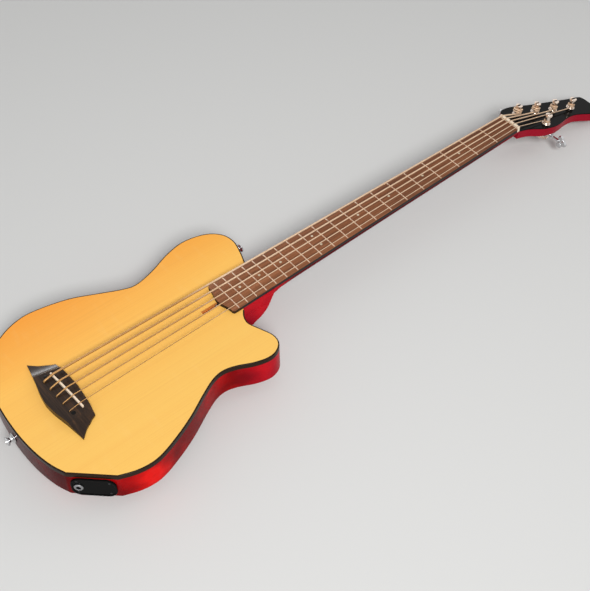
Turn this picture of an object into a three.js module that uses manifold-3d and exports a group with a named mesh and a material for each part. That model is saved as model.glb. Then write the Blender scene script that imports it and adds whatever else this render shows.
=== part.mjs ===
// Five-string acoustic bass guitar with a cutaway body and open-gear tuners.
// Millimetres. X points to the treble side, Y to the head and Z out of the top.
// The origin is on the flat back, on the centre line, under the middle of the saddle.
import * as THREE from "three";
import { mergeVertices } from "three/addons/utils/BufferGeometryUtils.js";
import Module from "manifold-3d";

const wasm = await Module();
wasm.setup();

// Scale and strings, listed from the bass side to the treble side
const scaleLength = 864;
const saddleCompensation = 2;
const stringDiameters = [3.3, 2.67, 2.16, 1.65, 1.14];
const nutStringSpacing = 8.72;
const saddleStringSpacing = 16.1;
const firstFretClearance = 0.7;
const stringRise = 7;
const nutSlotGap = 0.06;
const nutSlotSideGap = 0.12;
const nutBreakShare = 0.3;
const nutRiseShare = 0.55;
const ballGap = 0.3;
const ballDiameter = 6;
const ballLength = 6;
const ballChamfer = 0.6;

// Body
const bodyHalfWidth = 164;
const bodyLength = 436.7;
const tailReach = 86;
const bodyDepth = 52;
const topThickness = 4;
const backThickness = 6;
const sideThickness = 7;
const backEdgeRadius = 5;
const bindingWidth = 2;
const bindingDepth = 8;
const outlineSteps = 2;

// Neck joint and heel
const seamHeight = 31.8;
const neckBlockInset = 12.5;
const neckBlockHalfWidth = 46;
const tailBlockHalfWidth = 36;
const tailBlockLength = 26;
const jointGap = 0.3;
const tenonLength = 63.5;
const heelSeamStep = 4.3522;
const heelFrontLean = 8.5;
const heelRun = 40;
const heelBlend = 13;
const heelSwell = 0.5;

// Fingerboard and frets
const fretCount = 20;
const nutWidth = 42.1;
const lastFretWidth = 63.6;
const boardThickness = 6.96;
const boardRadius = 400;
const boardOverhang = 11.1;
const boardBulge = 6;
const boardCornerRadius = 4;
const fretHeight = 1.1;
const fretWidth = 2.4;
const fretEndInset = 0.6;
const tangWidth = 0.5;
const tangDepth = 1.6;
const fretSlotWidth = 0.66;
const fretSlotDepth = 1.8;
const fretSeatGap = 0.08;
const fretSteps = 4;
const crownSteps = 10;
const boardEndSteps = 8;

// Neck and head
const neckDepthAtNut = 14;
const neckDepthAtHeel = 17.5;
const nutLength = 5;
const nutSlotSlope = THREE.MathUtils.degToRad(22);
const headTilt = THREE.MathUtils.degToRad(15);
const headLength = 208;
const headHalfWidth = 41.4;
const headWood = 13.9;
const headSteps = 34;
const neckRoundSteps = 10;
const veneerThickness = 1.5;
const glueGap = 0.1;
const trussRodWidth = 6;
const trussRodDepth = 9;
const trussRodGap = 0.2;
const trussRodEndGap = 2;
const trussHexDepth = 4;
const trussNutPlay = 2;
const trussNutDiameter = 5.4;
const trussNutLength = 12;
const trussHexWidth = 2.5;
const trussTipDiameter = 3;
const trussTipLength = 7;
const trussSlotWidth = 6.2;
const trussSlotReach = 39;
const trussChannelDepth = 12;

// Bridge and saddle
const bridgeHalfWidth = 78.8;
const bridgeFront = 16.5;
const bridgeBack = 34;
const bridgeHeight = 10.3;
const bridgeTurn = THREE.MathUtils.degToRad(-2);
const scoopSlant = THREE.MathUtils.degToRad(11);
const stringHoleRow = 16.5;
const stringHoleGap = 0.45;
const saddleSlant = THREE.MathUtils.degToRad(3.2);
const saddleLength = 77;
const saddleThickness = 2.6;
const saddleSlotDepth = 6;
const saddleBackSlope = THREE.MathUtils.degToRad(27);
const saddlePeakInset = 0.3;
const saddleUnderGap = 0.06;
const saddleStringGap = 0.12;
const pickupInset = 2;
const saddleFitGap = 0.15;
const pickupWidth = 2.4;
const pickupHeight = 1.2;
const plateHalfWidth = 60;
const plateFront = 25;
const plateBack = 33;
const bridgePlateThickness = 3;
const braceWidth = 8;
const braceHeight = 12;
const braceEndHeight = 4;
const braceCrossShare = 0.266;
const braceTipShare = 0.7;
const braceLowerReach = 165;
const braceTaper = 55;

// Tuners
const postCount = 4;
const firstPost = { x: -19.5, y: 38 };
const postStep = { x: 8.5, y: 39.5 };
const treblePost = { x: 24, y: 67.5 };
const postRadius = 4;
const postHoleGap = 0.5;
const collarRadius = 5.4;
const collarTop = 2.2;
const waistRadius = 4.2;
const waistTop = 14;
const knobRadius = 6;
const postTop = 18;
const postSlotWidth = 3.4;
const postSlotDepth = 5;
const postChamfer = 0.5;
const wrapTurns = 2;
const wrapStepsPerTurn = 16;
const wrapGap = 0.3;
const turnGap = 0.5;
const tunerPlateThickness = 1.6;
const tunerPlateHalfWidth = 11.8;
const tunerPlateBelow = 12;
const tunerPlateAbove = 21;
const tunerPlateCorner = 3;
const tunerSeatGap = 0.3;
const gearTeeth = 20;
const gearModule = 1;
const gearThickness = 4.5;
const gearAddendum = 0.85;
const gearDedendum = 1.1;
const wormPlateGap = 0.5;
const gearScrewRadius = 4;
const gearScrewHeight = 2;
const wormPitchRadius = 3.5;
const wormAddendum = 0.75;
const wormHalfLength = 6;
const wormSink = 0.44;
const wormStepsPerTurn = 8;
const shaftRadius = 2.2;
const shaftGap = 0.1;
const lugThickness = 2.4;
const lugHalfWidth = 4;
const lugInset = 1;
const shaftEnd = 11.6;
const stalkStart = 12.6;
const stalkRadius = 3.2;
const stalkWaistRadius = 2.4;
const stalkFlare = 2;
const buttonStart = 24;
const lobeRadius = 5.6;
const lobeFlatRadius = 3.9;
const lobeThickness = 5;
const lobeSpread = 6;
const lobeRow = 6.5;
const tipLobeRow = 14.5;

// Electrics and strap buttons
const jackPlateLength = 62;
const jackPlateHeight = 38;
const jackPlateCorner = 14;
const jackPlateThickness = 2;
const jackPlateRim = 2.5;
const jackPlateRimHeight = 1;
const jackPlateCentre = 24.5;
const jackPlateGap = 0.3;
const jackOffset = 20.5;
const jackFlangeRadius = 6.5;
const jackFlangeHeight = 2.4;
const jackBarrelRadius = 4.6;
const jackBarrelLength = 24;
const jackBoreRadius = 3.25;
const jackBoreDepth = 20;
const jackSeatGap = 0.1;
const jackFlangeChamfer = 0.8;
const cavityLength = 54;
const cavityHeight = 26;
const cavityDepth = 13;
const preampSize = { x: 70, y: 36, z: 21 };
const preampJackGap = 7.565;
const preampTailGap = 12;
const batterySize = { x: 48.5, y: 26.5, z: 17.5 };
const batteryGap = 0.4;
const buttonBaseRadius = 7.5;
const buttonWaistRadius = 3.6;
const buttonDiscRadius = 7;
const buttonLength = 12;
const buttonShankRadius = 2.4;
const buttonShankLength = 16;
const buttonSeatGap = 0.4;
const tailButtonX = -6;
const upperButtonX = -86;
const upperButtonZ = 28;
const tailButtonZ = 25;

// How far a cutter runs past what it cuts, and how fine the round pieces are
const overrun = 2;
const holeSides = 12;
const smallSides = 10;
const turnedSides = 16;
const postSides = 12;
const stringSides = 6;
const stringHoleSides = 8;
const cornerSteps = 3;
const boardCornerSteps = 2;
const mergeReach = 1e-5;
const steepShare = 0.9;

// Body outline, inside the binding, as shares of the half width and of the length from the tail
const bassSideShares = [
  [-0.232, 0.966], [-0.366, 0.986], [-0.524, 1], [-0.659, 0.987], [-0.762, 0.941], [-0.811, 0.866],
  [-0.78, 0.79], [-0.689, 0.694], [-0.652, 0.621], [-0.689, 0.572], [-0.78, 0.504], [-0.902, 0.41],
  [-0.976, 0.3], [-0.979, 0.231], [-0.915, 0.158], [-0.78, 0.082], [-0.579, 0.034], [-0.305, 0.01],
  [0, 0], [0.268, 0.0034], [0.488, 0.018], [0.637, 0.039],
];
const trebleSideShares = [
  [0.927, 0.153], [0.979, 0.204], [1, 0.254], [0.985, 0.302], [0.921, 0.373], [0.833, 0.449],
  [0.72, 0.527], [0.645, 0.587], [0.628, 0.632], [0.66, 0.676], [0.728, 0.728], [0.764, 0.776],
  [0.75, 0.812], [0.69, 0.838], [0.598, 0.843], [0.482, 0.828], [0.357, 0.811], [0.268, 0.818],
  [0.204, 0.835],
];

// Places that follow from the sizes above
const nutY = scaleLength + saddleCompensation;
const topUnder = bodyDepth - topThickness;
const boardCrown = bodyDepth + boardThickness;
const fretY = (n) => nutY - scaleLength * (1 - 2 ** (-n / 12));
const lastFretY = fretY(fretCount);
const boardEdgeY = lastFretY - boardOverhang;
const boardTipY = boardEdgeY - boardBulge;
const boardHalfWidthAt = (y) => {
  const share = (nutY - y) / (nutY - lastFretY);
  return (nutWidth + (lastFretWidth - nutWidth) * share) / 2;
};
const boardSurface = (x) => boardCrown - boardRadius + Math.sqrt(boardRadius ** 2 - x ** 2);
const heelFrontSeam = bassSideShares[0][1] * bodyLength - tailReach - heelSeamStep;
const heelFrontTop = heelFrontSeam + heelFrontLean;
const tenonEnd = heelFrontSeam - tenonLength;
const tenonHalfWidth = boardHalfWidthAt(heelFrontTop) + bindingWidth / 2;
const pocketHalfWidth = tenonHalfWidth + jointGap;
const neckBlockY = tenonEnd - trussSlotReach - neckBlockInset;

// The braces cross between the bridge plate's corners and the neck block
const plateCorner = plateFront + plateHalfWidth;
const braceRoom = neckBlockY - plateCorner;
const braceCrossing = plateCorner + braceCrossShare * braceRoom;
const braceUpperReach = (braceTipShare - braceCrossShare) * braceRoom * Math.SQRT2 - braceWidth / 2;

// Materials
const finish = (color, roughness, metalness = 0) =>
  new THREE.MeshStandardMaterial({ color, roughness, metalness });
const amberSpruce = finish(0xf2b565, 0.35);
const redMahogany = finish(0xb01218, 0.25);
const blackPlastic = finish(0x101010, 0.3);
const blackGloss = finish(0x08090a, 0.12);
const rosewood = finish(0x6b4028, 0.6);
const darkRosewood = finish(0x2a1a15, 0.45);
const bareSpruce = finish(0xd9b382, 0.8);
const bareMaple = finish(0xc9a070, 0.75);
const bone = finish(0xe9dcc0, 0.4);
const nickelSilver = finish(0xc9bfae, 0.25, 1);
const bronze = finish(0xc79a63, 0.35, 1);
const chrome = finish(0xd6d8db, 0.12, 1);
const steel = finish(0x8c8f92, 0.4, 1);
const batteryWrap = finish(0x33363a, 0.5);

// Solids, cuts and joins
const solid = (geometry) => {
  const bare = geometry.clone();
  bare.deleteAttribute("normal");
  bare.deleteAttribute("uv");
  const merged = mergeVertices(bare, mergeReach);
  return new wasm.Manifold(new wasm.Mesh({
    numProp: 3,
    vertProperties: new Float32Array(merged.attributes.position.array),
    triVerts: new Uint32Array(merged.index.array),
  }));
};

const geometryOf = (manifold) => {
  const mesh = manifold.getMesh();
  const geometry = new THREE.BufferGeometry();
  const corners = new THREE.BufferAttribute(new Float32Array(mesh.vertProperties), 3);
  geometry.setAttribute("position", corners);
  geometry.setIndex(new THREE.BufferAttribute(new Uint32Array(mesh.triVerts), 1));
  const flat = geometry.toNonIndexed();
  flat.computeVertexNormals();
  return flat;
};

const join = (...geometries) =>
  geometryOf(geometries.map(solid).reduce((whole, piece) => whole.add(piece)));

const cut = (geometry, ...cutters) =>
  geometryOf(cutters.map(solid).reduce((whole, piece) => whole.subtract(piece), solid(geometry)));

const common = (first, second) => geometryOf(solid(first).intersect(solid(second)));

// A box given by its lowest and highest corners
const boxBetween = (low, high) => {
  const box = new THREE.BoxGeometry(high[0] - low[0], high[1] - low[1], high[2] - low[2]);
  return box.translate((low[0] + high[0]) / 2, (low[1] + high[1]) / 2, (low[2] + high[2]) / 2);
};

// A flat outline in X and Y raised between two heights
const raise = (outline, low, high) => {
  const shape = new THREE.Shape(outline);
  const body = new THREE.ExtrudeGeometry(shape, { depth: high - low, bevelEnabled: false });
  return body.translate(0, 0, low);
};

// An outline in Y and Z drawn out along X
const drawAcross = (outline, low, high) => {
  const body = raise(outline, low, high);
  const turn = new THREE.Matrix4().makeBasis(
    new THREE.Vector3(0, 1, 0), new THREE.Vector3(0, 0, 1), new THREE.Vector3(1, 0, 0));
  return body.applyMatrix4(turn);
};

// An outline in X and Z drawn out along Y
const drawAlong = (outline, low, high) => {
  const body = raise(outline, -high, -low);
  return body.applyMatrix4(new THREE.Matrix4().makeRotationX(Math.PI / 2));
};

// A round bar on the Z axis
const bar = (radius, low, high, sides) => {
  const body = new THREE.CylinderGeometry(radius, radius, high - low, sides);
  return body.rotateX(Math.PI / 2).translate(0, 0, (low + high) / 2);
};

// A turned piece on the Z axis, from radius and height pairs that start and end on the axis
const turned = (profile, sides) => {
  const points = profile.map(([radius, height]) => new THREE.Vector2(radius, height));
  return new THREE.LatheGeometry(points, sides).rotateX(Math.PI / 2);
};

// A closed skin over rings of points, each ring with as many points as the last
const skin = (rings, flipped = false) => {
  const count = rings[0].length;
  const positions = rings.flat().flatMap((point) => point.toArray());
  const faces = [];
  const quad = (a, b, c, d) => faces.push([a, b, c], [a, c, d]);
  for (let ring = 0; ring + 1 < rings.length; ring += 1) {
    for (let i = 0; i < count; i += 1) {
      const next = (i + 1) % count;
      const low = ring * count;
      const high = low + count;
      quad(low + i, low + next, high + next, high + i);
    }
  }
  const last = (rings.length - 1) * count;
  for (const [a, b, c] of capFaces(rings[0])) {
    faces.push([a, c, b]);
  }
  for (const [a, b, c] of capFaces(rings[rings.length - 1])) {
    faces.push([last + a, last + b, last + c]);
  }
  const geometry = new THREE.BufferGeometry();
  geometry.setAttribute("position", new THREE.Float32BufferAttribute(positions, 3));
  geometry.setIndex(faces.flatMap(([a, b, c]) => (flipped ? [a, c, b] : [a, b, c])));
  return geometry.toNonIndexed();
};

// Triangles that close a flat ring, seen along its own normal
const capFaces = (ring) => {
  const normal = new THREE.Vector3();
  ring.forEach((point, i) => {
    const next = ring[(i + 1) % ring.length];
    normal.add(new THREE.Vector3().crossVectors(point, next));
  });
  normal.normalize();
  const side = new THREE.Vector3().subVectors(ring[1], ring[0]).normalize();
  const up = new THREE.Vector3().crossVectors(normal, side);
  const flat = ring.map((point) => new THREE.Vector2(point.dot(side), point.dot(up)));
  return THREE.ShapeUtils.triangulateShape(flat, []);
};

// A round bar swept along points, with a radius for each point
const sweep = (points, radii, sides) => {
  const rings = [];
  let across = null;
  points.forEach((point, i) => {
    const before = points[Math.max(i - 1, 0)];
    const after = points[Math.min(i + 1, points.length - 1)];
    const come = new THREE.Vector3().subVectors(point, before).normalize();
    const go = new THREE.Vector3().subVectors(after, point).normalize();
    const along = new THREE.Vector3().addVectors(come, go).normalize();
    if (across === null) {
      const guide = Math.abs(along.z) > steepShare ? new THREE.Vector3(1, 0, 0) : new THREE.Vector3(0, 0, 1);
      across = new THREE.Vector3().crossVectors(guide, along).normalize();
    }
    across.addScaledVector(along, -across.dot(along)).normalize();
    const over = new THREE.Vector3().crossVectors(along, across);
    const bend = i > 0 && i + 1 < points.length ? come.angleTo(go) / 2 : 0;
    const inward = new THREE.Vector3().subVectors(go, come);
    const stretch = 1 / Math.cos(bend) - 1;
    if (bend > 0) {
      inward.normalize();
    }
    const ring = [];
    for (let side = 0; side < sides; side += 1) {
      const angle = (side / sides) * 2 * Math.PI;
      const spoke = across.clone().multiplyScalar(Math.cos(angle) * radii[i]);
      spoke.addScaledVector(over, Math.sin(angle) * radii[i]);
      spoke.addScaledVector(inward, bend > 0 ? spoke.dot(inward) * stretch : 0);
      ring.push(spoke.add(point));
    }
    rings.push(ring);
    across = across.clone();
  });
  return skin(rings);
};

// The flat outline moved outwards by a distance, along its corners' bisectors
const movedOut = (outline, distance) => outline.map((point, i) => {
  const before = outline[Math.max(i - 1, 0)];
  const after = outline[Math.min(i + 1, outline.length - 1)];
  const come = i > 0 ? point.clone().sub(before).normalize() : after.clone().sub(point).normalize();
  const go = i + 1 < outline.length ? after.clone().sub(point).normalize() : come.clone();
  const along = come.clone().add(go).normalize();
  const reach = distance / along.dot(come);
  return new THREE.Vector2(point.x + along.y * reach, point.y - along.x * reach);
});

const atHeight = (outline, z) => outline.map((point) => new THREE.Vector3(point.x, point.y, z));

// The body's outline
const outlinePoint = ([xShare, yShare]) =>
  new THREE.Vector2(xShare * bodyHalfWidth, yShare * bodyLength - tailReach);
const smooth = (shares) => {
  const curve = new THREE.SplineCurve(shares.map(outlinePoint));
  return curve.getPoints((shares.length - 1) * outlineSteps);
};
const bassSide = smooth(bassSideShares);
const trebleSide = smooth(trebleSideShares);
const hornEnd = new THREE.Vector2(pocketHalfWidth, trebleSide.at(-1).y + bindingWidth);
const edgeLine = [...bassSide, ...trebleSide, hornEnd];
const outerLine = movedOut(edgeLine, bindingWidth);
outerLine[outerLine.length - 1].setX(pocketHalfWidth);
const heelZone = [
  new THREE.Vector2(pocketHalfWidth, heelFrontSeam),
  new THREE.Vector2(-pocketHalfWidth - bindingWidth, heelFrontSeam),
];

// The 45 degree facet at the treble side of the tail
const facetStart = outerLine[bassSide.length - 1];
const facetEnd = outerLine[bassSide.length];
const facetAlong = facetEnd.clone().sub(facetStart).normalize();
const facetMiddle = facetStart.clone().add(facetEnd).multiplyScalar(1 / 2);

// Local X runs along the facet, local Y up the side and local Z out of it
const facetFrame = new THREE.Matrix4().makeBasis(
  new THREE.Vector3(facetAlong.x, facetAlong.y, 0),
  new THREE.Vector3(0, 0, 1),
  new THREE.Vector3(facetAlong.y, -facetAlong.x, 0),
).setPosition(facetMiddle.x, facetMiddle.y, jackPlateCentre);

// The preamp stands in front of the tail block and beside the inner end of the jack
const jackEndX = facetMiddle.x - facetAlong.x * jackOffset - facetAlong.y * jackBarrelLength;
const preampCorner = {
  x: jackEndX - jackBarrelRadius - preampJackGap - preampSize.x,
  y: tailBlockLength + preampTailGap - tailReach,
};

// Truss rod channel, open to the top behind the end of the board
const trussChannel = boxBetween(
  [-trussSlotWidth / 2, tenonEnd - trussSlotReach, bodyDepth - trussChannelDepth],
  [trussSlotWidth / 2, tenonEnd + overrun, bodyDepth + overrun],
);

const bridgeHoles = (low, high) => stringDiameters.map((diameter, i) => {
  const hole = bar(diameter / 2 + stringHoleGap, low, high, stringHoleSides);
  return hole.translate(saddleX(i), -stringHoleRow, 0);
});

// The neck's pocket, whose treble wall ends where the cutaway meets the neck
const pocketPlan = (bassHalfWidth, wallEnd) => [
  new THREE.Vector2(-bassHalfWidth, tenonEnd - jointGap),
  new THREE.Vector2(pocketHalfWidth, tenonEnd - jointGap),
  new THREE.Vector2(pocketHalfWidth, wallEnd),
  new THREE.Vector2(pocketHalfWidth + overrun, wallEnd),
  new THREE.Vector2(pocketHalfWidth + overrun, bodyLength),
  new THREE.Vector2(-bassHalfWidth, bodyLength),
];

const makeBody = () => {
  const ledge = [...edgeLine, ...heelZone];
  const outer = [...outerLine, ...heelZone];
  const inset = (distance) => [...movedOut(outerLine, -distance), ...heelZone];
  const rounded = Array.from({ length: cornerSteps }, (_, step) => {
    const angle = (step / cornerSteps) * (Math.PI / 2);
    const height = backEdgeRadius * (1 - Math.cos(angle));
    return atHeight(inset(backEdgeRadius * (1 - Math.sin(angle))), height);
  });
  const shell = skin([
    ...rounded,
    atHeight(outer, backEdgeRadius),
    atHeight(outer, bodyDepth - bindingDepth),
    atHeight(ledge, bodyDepth - bindingDepth),
    atHeight(ledge, topUnder),
  ]);
  const inside = movedOut(outerLine, -sideThickness);
  const hollow = raise(inside, backThickness, bodyDepth);
  const neckBlock = boxBetween(
    [-neckBlockHalfWidth, neckBlockY, 0], [neckBlockHalfWidth, bodyLength, bodyDepth + overrun]);
  const tailBlock = boxBetween(
    [-tailBlockHalfWidth, -tailReach - overrun, 0],
    [tailBlockHalfWidth, tailBlockLength - tailReach, bodyDepth + overrun]);
  const chamber = cut(hollow, neckBlock, tailBlock);
  const wallEnd = outerLine.at(-1).y;
  const pocket = raise(pocketPlan(pocketHalfWidth, wallEnd), seamHeight, bodyDepth + overrun);
  const frontShares = [[0, 1], [0.15, 0.69], [0.29, 0.5], [0.5, 0.31], [0.75, 0.19], [0.9, 0.07], [1, 0]];
  const heelFront = frontShares.map(([back, up]) => new THREE.Vector2(
    heelFrontSeam - back * heelRun, up * seamHeight));
  const heelCut = drawAcross([
    ...heelFront,
    new THREE.Vector2(heelFrontSeam - heelRun, -overrun),
    new THREE.Vector2(bodyLength, -overrun),
    new THREE.Vector2(bodyLength, seamHeight),
  ], -pocketHalfWidth - bindingWidth, pocketHalfWidth + overrun);
  const cavity = boxBetween(
    [-cavityLength / 2, -cavityHeight / 2, -cavityDepth],
    [cavityLength / 2, cavityHeight / 2, overrun]).applyMatrix4(facetFrame);
  const tailShank = bar(buttonShankRadius + jointGap, -overrun, buttonShankLength + overrun, holeSides);
  const upperShank = tailShank.clone();
  tailShank.rotateX(-Math.PI / 2).translate(tailButtonX, -tailReach - bindingWidth, tailButtonZ);
  const frontY = bodyLength - tailReach + bindingWidth;
  upperShank.rotateX(Math.PI / 2).translate(upperButtonX, frontY, upperButtonZ);
  return cut(shell, chamber, pocket, heelCut, trussChannel, cavity, tailShank, upperShank);
};

const makeTop = () => {
  const plate = raise([...edgeLine, ...heelZone], topUnder, bodyDepth);
  const plan = pocketPlan(pocketHalfWidth + jointGap, hornEnd.y);
  const notch = raise(plan, topUnder - overrun, bodyDepth + overrun);
  return cut(plate, notch, trussChannel, ...bridgeHoles(topUnder - overrun, bodyDepth + overrun));
};

const makeBinding = () => {
  const low = bodyDepth - bindingDepth;
  const rings = edgeLine.map((inner, i) => {
    const outer = outerLine[i];
    return [
      new THREE.Vector3(inner.x, inner.y, low), new THREE.Vector3(outer.x, outer.y, low),
      new THREE.Vector3(outer.x, outer.y, bodyDepth), new THREE.Vector3(inner.x, inner.y, bodyDepth),
    ];
  });
  return skin(rings.slice(0, -1), true);
};

// Two tapered braces that cross under the top
const makeBraces = () => {
  const brace = (turn) => {
    const side = [
      [-braceLowerReach, topUnder], [braceUpperReach, topUnder],
      [braceUpperReach, topUnder - braceEndHeight],
      [braceUpperReach - braceTaper, topUnder - braceHeight],
      [braceTaper - braceLowerReach, topUnder - braceHeight],
      [-braceLowerReach, topUnder - braceEndHeight],
    ].map(([x, z]) => new THREE.Vector2(x, z));
    const body = drawAlong(side, -braceWidth / 2, braceWidth / 2);
    return body.rotateZ(turn).translate(0, braceCrossing, 0);
  };
  return join(brace(Math.PI / 4), brace(Math.PI * 3 / 4));
};

const makeBridgePlate = () => {
  const low = topUnder - bridgePlateThickness;
  const plate = boxBetween([-plateHalfWidth, -plateBack, low], [plateHalfWidth, plateFront, topUnder]);
  return cut(plate, ...bridgeHoles(low - overrun, topUnder + overrun));
};

// Bridge: a scooped rosewood block whose wings thin out to points
const bridgeShares = [
  [0, 1], [0.35, 0.89], [0.68, 0.72], [0.73, 0.26], [0.82, -0.19], [0.99, -0.61],
  [0.8, -0.68], [0.52, -0.8], [0.24, -0.94], [0, -1],
];
const scoopShares = [[0.54, 1.02], [0.57, 0.8], [0.63, 0.58], [0.72, 0.42], [0.84, 0.32], [1.05, 0.25]];
const bridgeTop = bodyDepth + bridgeHeight;
const saddleFloor = bridgeTop - saddleSlotDepth;

const makeBridge = () => {
  const half = bridgeShares.map(([xShare, yShare]) => new THREE.Vector2(
    xShare * bridgeHalfWidth, yShare > 0 ? yShare * bridgeFront : yShare * bridgeBack));
  const other = half.slice(1, -1).reverse().map((point) => new THREE.Vector2(-point.x, point.y));
  const block = raise([...half, ...other].reverse(), bodyDepth, bridgeTop).rotateZ(bridgeTurn);
  const scoopLine = scoopShares.map(([xShare, zShare]) => new THREE.Vector2(
    xShare * bridgeHalfWidth, bodyDepth + zShare * bridgeHeight));
  const scoop = drawAlong([
    ...scoopLine,
    new THREE.Vector2(scoopLine.at(-1).x, bridgeTop + overrun),
    new THREE.Vector2(scoopLine[0].x, bridgeTop + overrun),
  ], -bridgeBack - bridgeFront, bridgeBack + bridgeFront);
  const bassScoop = scoop.clone().rotateZ(Math.PI + bridgeTurn - scoopSlant);
  const trebleScoop = scoop.rotateZ(bridgeTurn + scoopSlant);
  const slotHalf = saddleThickness / 2 + saddleFitGap;
  const slot = boxBetween(
    [-saddleLength / 2 - saddleFitGap, -slotHalf, saddleFloor],
    [saddleLength / 2 + saddleFitGap, slotHalf, bridgeTop + overrun]).rotateZ(saddleSlant);
  return cut(block, bassScoop, trebleScoop, slot, ...bridgeHoles(bodyDepth - overrun, bridgeTop + overrun));
};

// String places at the nut and over the saddle
const middleString = (stringDiameters.length - 1) / 2;
const nutX = (i) => (i - middleString) * nutStringSpacing;
const saddleX = (i) => (i - middleString) * saddleStringSpacing;
const nutUnder = (i) => boardSurface(nutX(i)) + fretHeight + firstFretClearance;
const saddleUnder = (i) => nutUnder(i) + stringRise - (saddleX(i) ** 2 - nutX(i) ** 2) / (2 * boardRadius);
const saddlePeak = saddleThickness / 2 - saddlePeakInset;
const nutBreakY = nutY + nutLength * nutBreakShare;

const makeSaddle = () => {
  const low = saddleFloor + pickupHeight + saddleUnderGap;
  const stations = [
    [-saddleLength / 2, saddleUnder(0)],
    ...stringDiameters.map((_, i) => [saddleX(i), saddleUnder(i)]),
    [saddleLength / 2, saddleUnder(stringDiameters.length - 1)],
  ];
  const drop = (saddlePeak + saddleThickness / 2) * Math.tan(saddleBackSlope);
  const rings = stations.map(([x, under]) => {
    const high = under - saddleStringGap;
    return [
      [-saddleThickness / 2, low], [saddleThickness / 2, low],
      [saddleThickness / 2, high - saddlePeakInset], [saddlePeak, high],
      [-saddleThickness / 2, high - drop],
    ].map(([y, z]) => new THREE.Vector3(x, y, z));
  });
  return skin(rings).rotateZ(saddleSlant);
};

const makePickup = () => boxBetween(
  [-saddleLength / 2 + pickupInset, -pickupWidth / 2, saddleFloor],
  [saddleLength / 2 - pickupInset, pickupWidth / 2, saddleFloor + pickupHeight]).rotateZ(saddleSlant);

// Fingerboard with its crowned face and fret slots
const makeBoard = () => {
  const tip = boardHalfWidthAt(boardEdgeY);
  const flat = tip - boardCornerRadius;
  const nutEnd = [new THREE.Vector2(nutWidth / 2, nutY), new THREE.Vector2(-nutWidth / 2, nutY)];
  const endLine = [];
  const corner = (side) => {
    const points = [];
    for (let step = 0; step <= boardCornerSteps; step += 1) {
      const angle = (step / boardCornerSteps) * (Math.PI / 2);
      points.push(new THREE.Vector2(
        side * (flat + boardCornerRadius * Math.cos(angle)),
        boardEdgeY + boardCornerRadius * (1 - Math.sin(angle))));
    }
    return points;
  };
  for (let step = 1; step < boardEndSteps; step += 1) {
    const x = -flat + (2 * flat * step) / boardEndSteps;
    endLine.push(new THREE.Vector2(x, boardEdgeY - boardBulge * Math.cos((Math.PI * x) / (2 * flat)) ** 2));
  }
  const around = [...nutEnd, ...corner(-1), ...endLine, ...corner(1).reverse()];
  const slab = raise(around, bodyDepth, boardCrown + overrun);
  const crown = [];
  for (let step = 0; step <= crownSteps; step += 1) {
    const x = (tip + overrun) * (1 - (2 * step) / crownSteps);
    crown.push(new THREE.Vector2(x, boardSurface(x)));
  }
  const under = [
    new THREE.Vector2(-tip - overrun, bodyDepth - overrun),
    new THREE.Vector2(tip + overrun, bodyDepth - overrun),
  ];
  const arch = drawAlong([...under, ...crown], boardTipY - overrun, nutY + overrun);
  const slots = [];
  for (let n = 1; n <= fretCount; n += 1) {
    const floor = boardSurface(boardHalfWidthAt(fretY(n))) - fretSlotDepth;
    slots.push(boxBetween(
      [-tip - overrun, fretY(n) - fretSlotWidth / 2, floor],
      [tip + overrun, fretY(n) + fretSlotWidth / 2, boardCrown + overrun]));
  }
  return cut(common(slab, arch), ...slots);
};

// Each fret's crown, as shares of half its width and of its height
const fretCrownShares = [[1, 0], [0.75, 0.7], [0.3, 1], [-0.3, 1], [-0.75, 0.7], [-1, 0]];
const makeFret = (n) => {
  const reach = boardHalfWidthAt(fretY(n)) - fretEndInset;
  const half = fretWidth / 2;
  const section = [
    [-tangWidth / 2, -tangDepth], [tangWidth / 2, -tangDepth], [tangWidth / 2, 0],
    ...fretCrownShares.map(([across, up]) => [across * half, up * fretHeight]),
    [-tangWidth / 2, 0],
  ];
  const rings = [];
  for (let step = 0; step <= fretSteps; step += 1) {
    const x = reach * ((2 * step) / fretSteps - 1);
    const z = boardSurface(x) + fretSeatGap;
    rings.push(section.map(([y, up]) => new THREE.Vector3(x, y, z + up)));
  }
  return skin(rings).translate(0, fretY(n), 0);
};

// The nut, with a slot for each string
const makeNut = () => {
  const half = nutWidth / 2;
  const rise = firstFretClearance + fretHeight + Math.max(...stringDiameters) * nutRiseShare;
  const profile = [new THREE.Vector2(-half, bodyDepth), new THREE.Vector2(half, bodyDepth)];
  for (let step = 0; step <= crownSteps; step += 1) {
    const x = half * (1 - (2 * step) / crownSteps);
    profile.push(new THREE.Vector2(x, boardSurface(x) + rise));
  }
  const block = drawAlong(profile, nutY, nutY + nutLength);
  const slots = stringDiameters.map((diameter, i) => {
    const side = diameter / 2 + nutSlotSideGap;
    const floor = nutUnder(i) - nutSlotGap;
    const exit = nutY + nutLength + overrun;
    const fall = (exit - nutBreakY) * Math.tan(nutSlotSlope);
    return drawAcross([
      [nutY - overrun, floor], [nutBreakY, floor], [exit, floor - fall],
      [exit, boardCrown + rise + overrun], [nutY - overrun, boardCrown + rise + overrun],
    ].map(([y, z]) => new THREE.Vector2(y, z)), nutX(i) - side, nutX(i) + side);
  });
  return cut(block, ...slots);
};

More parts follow.
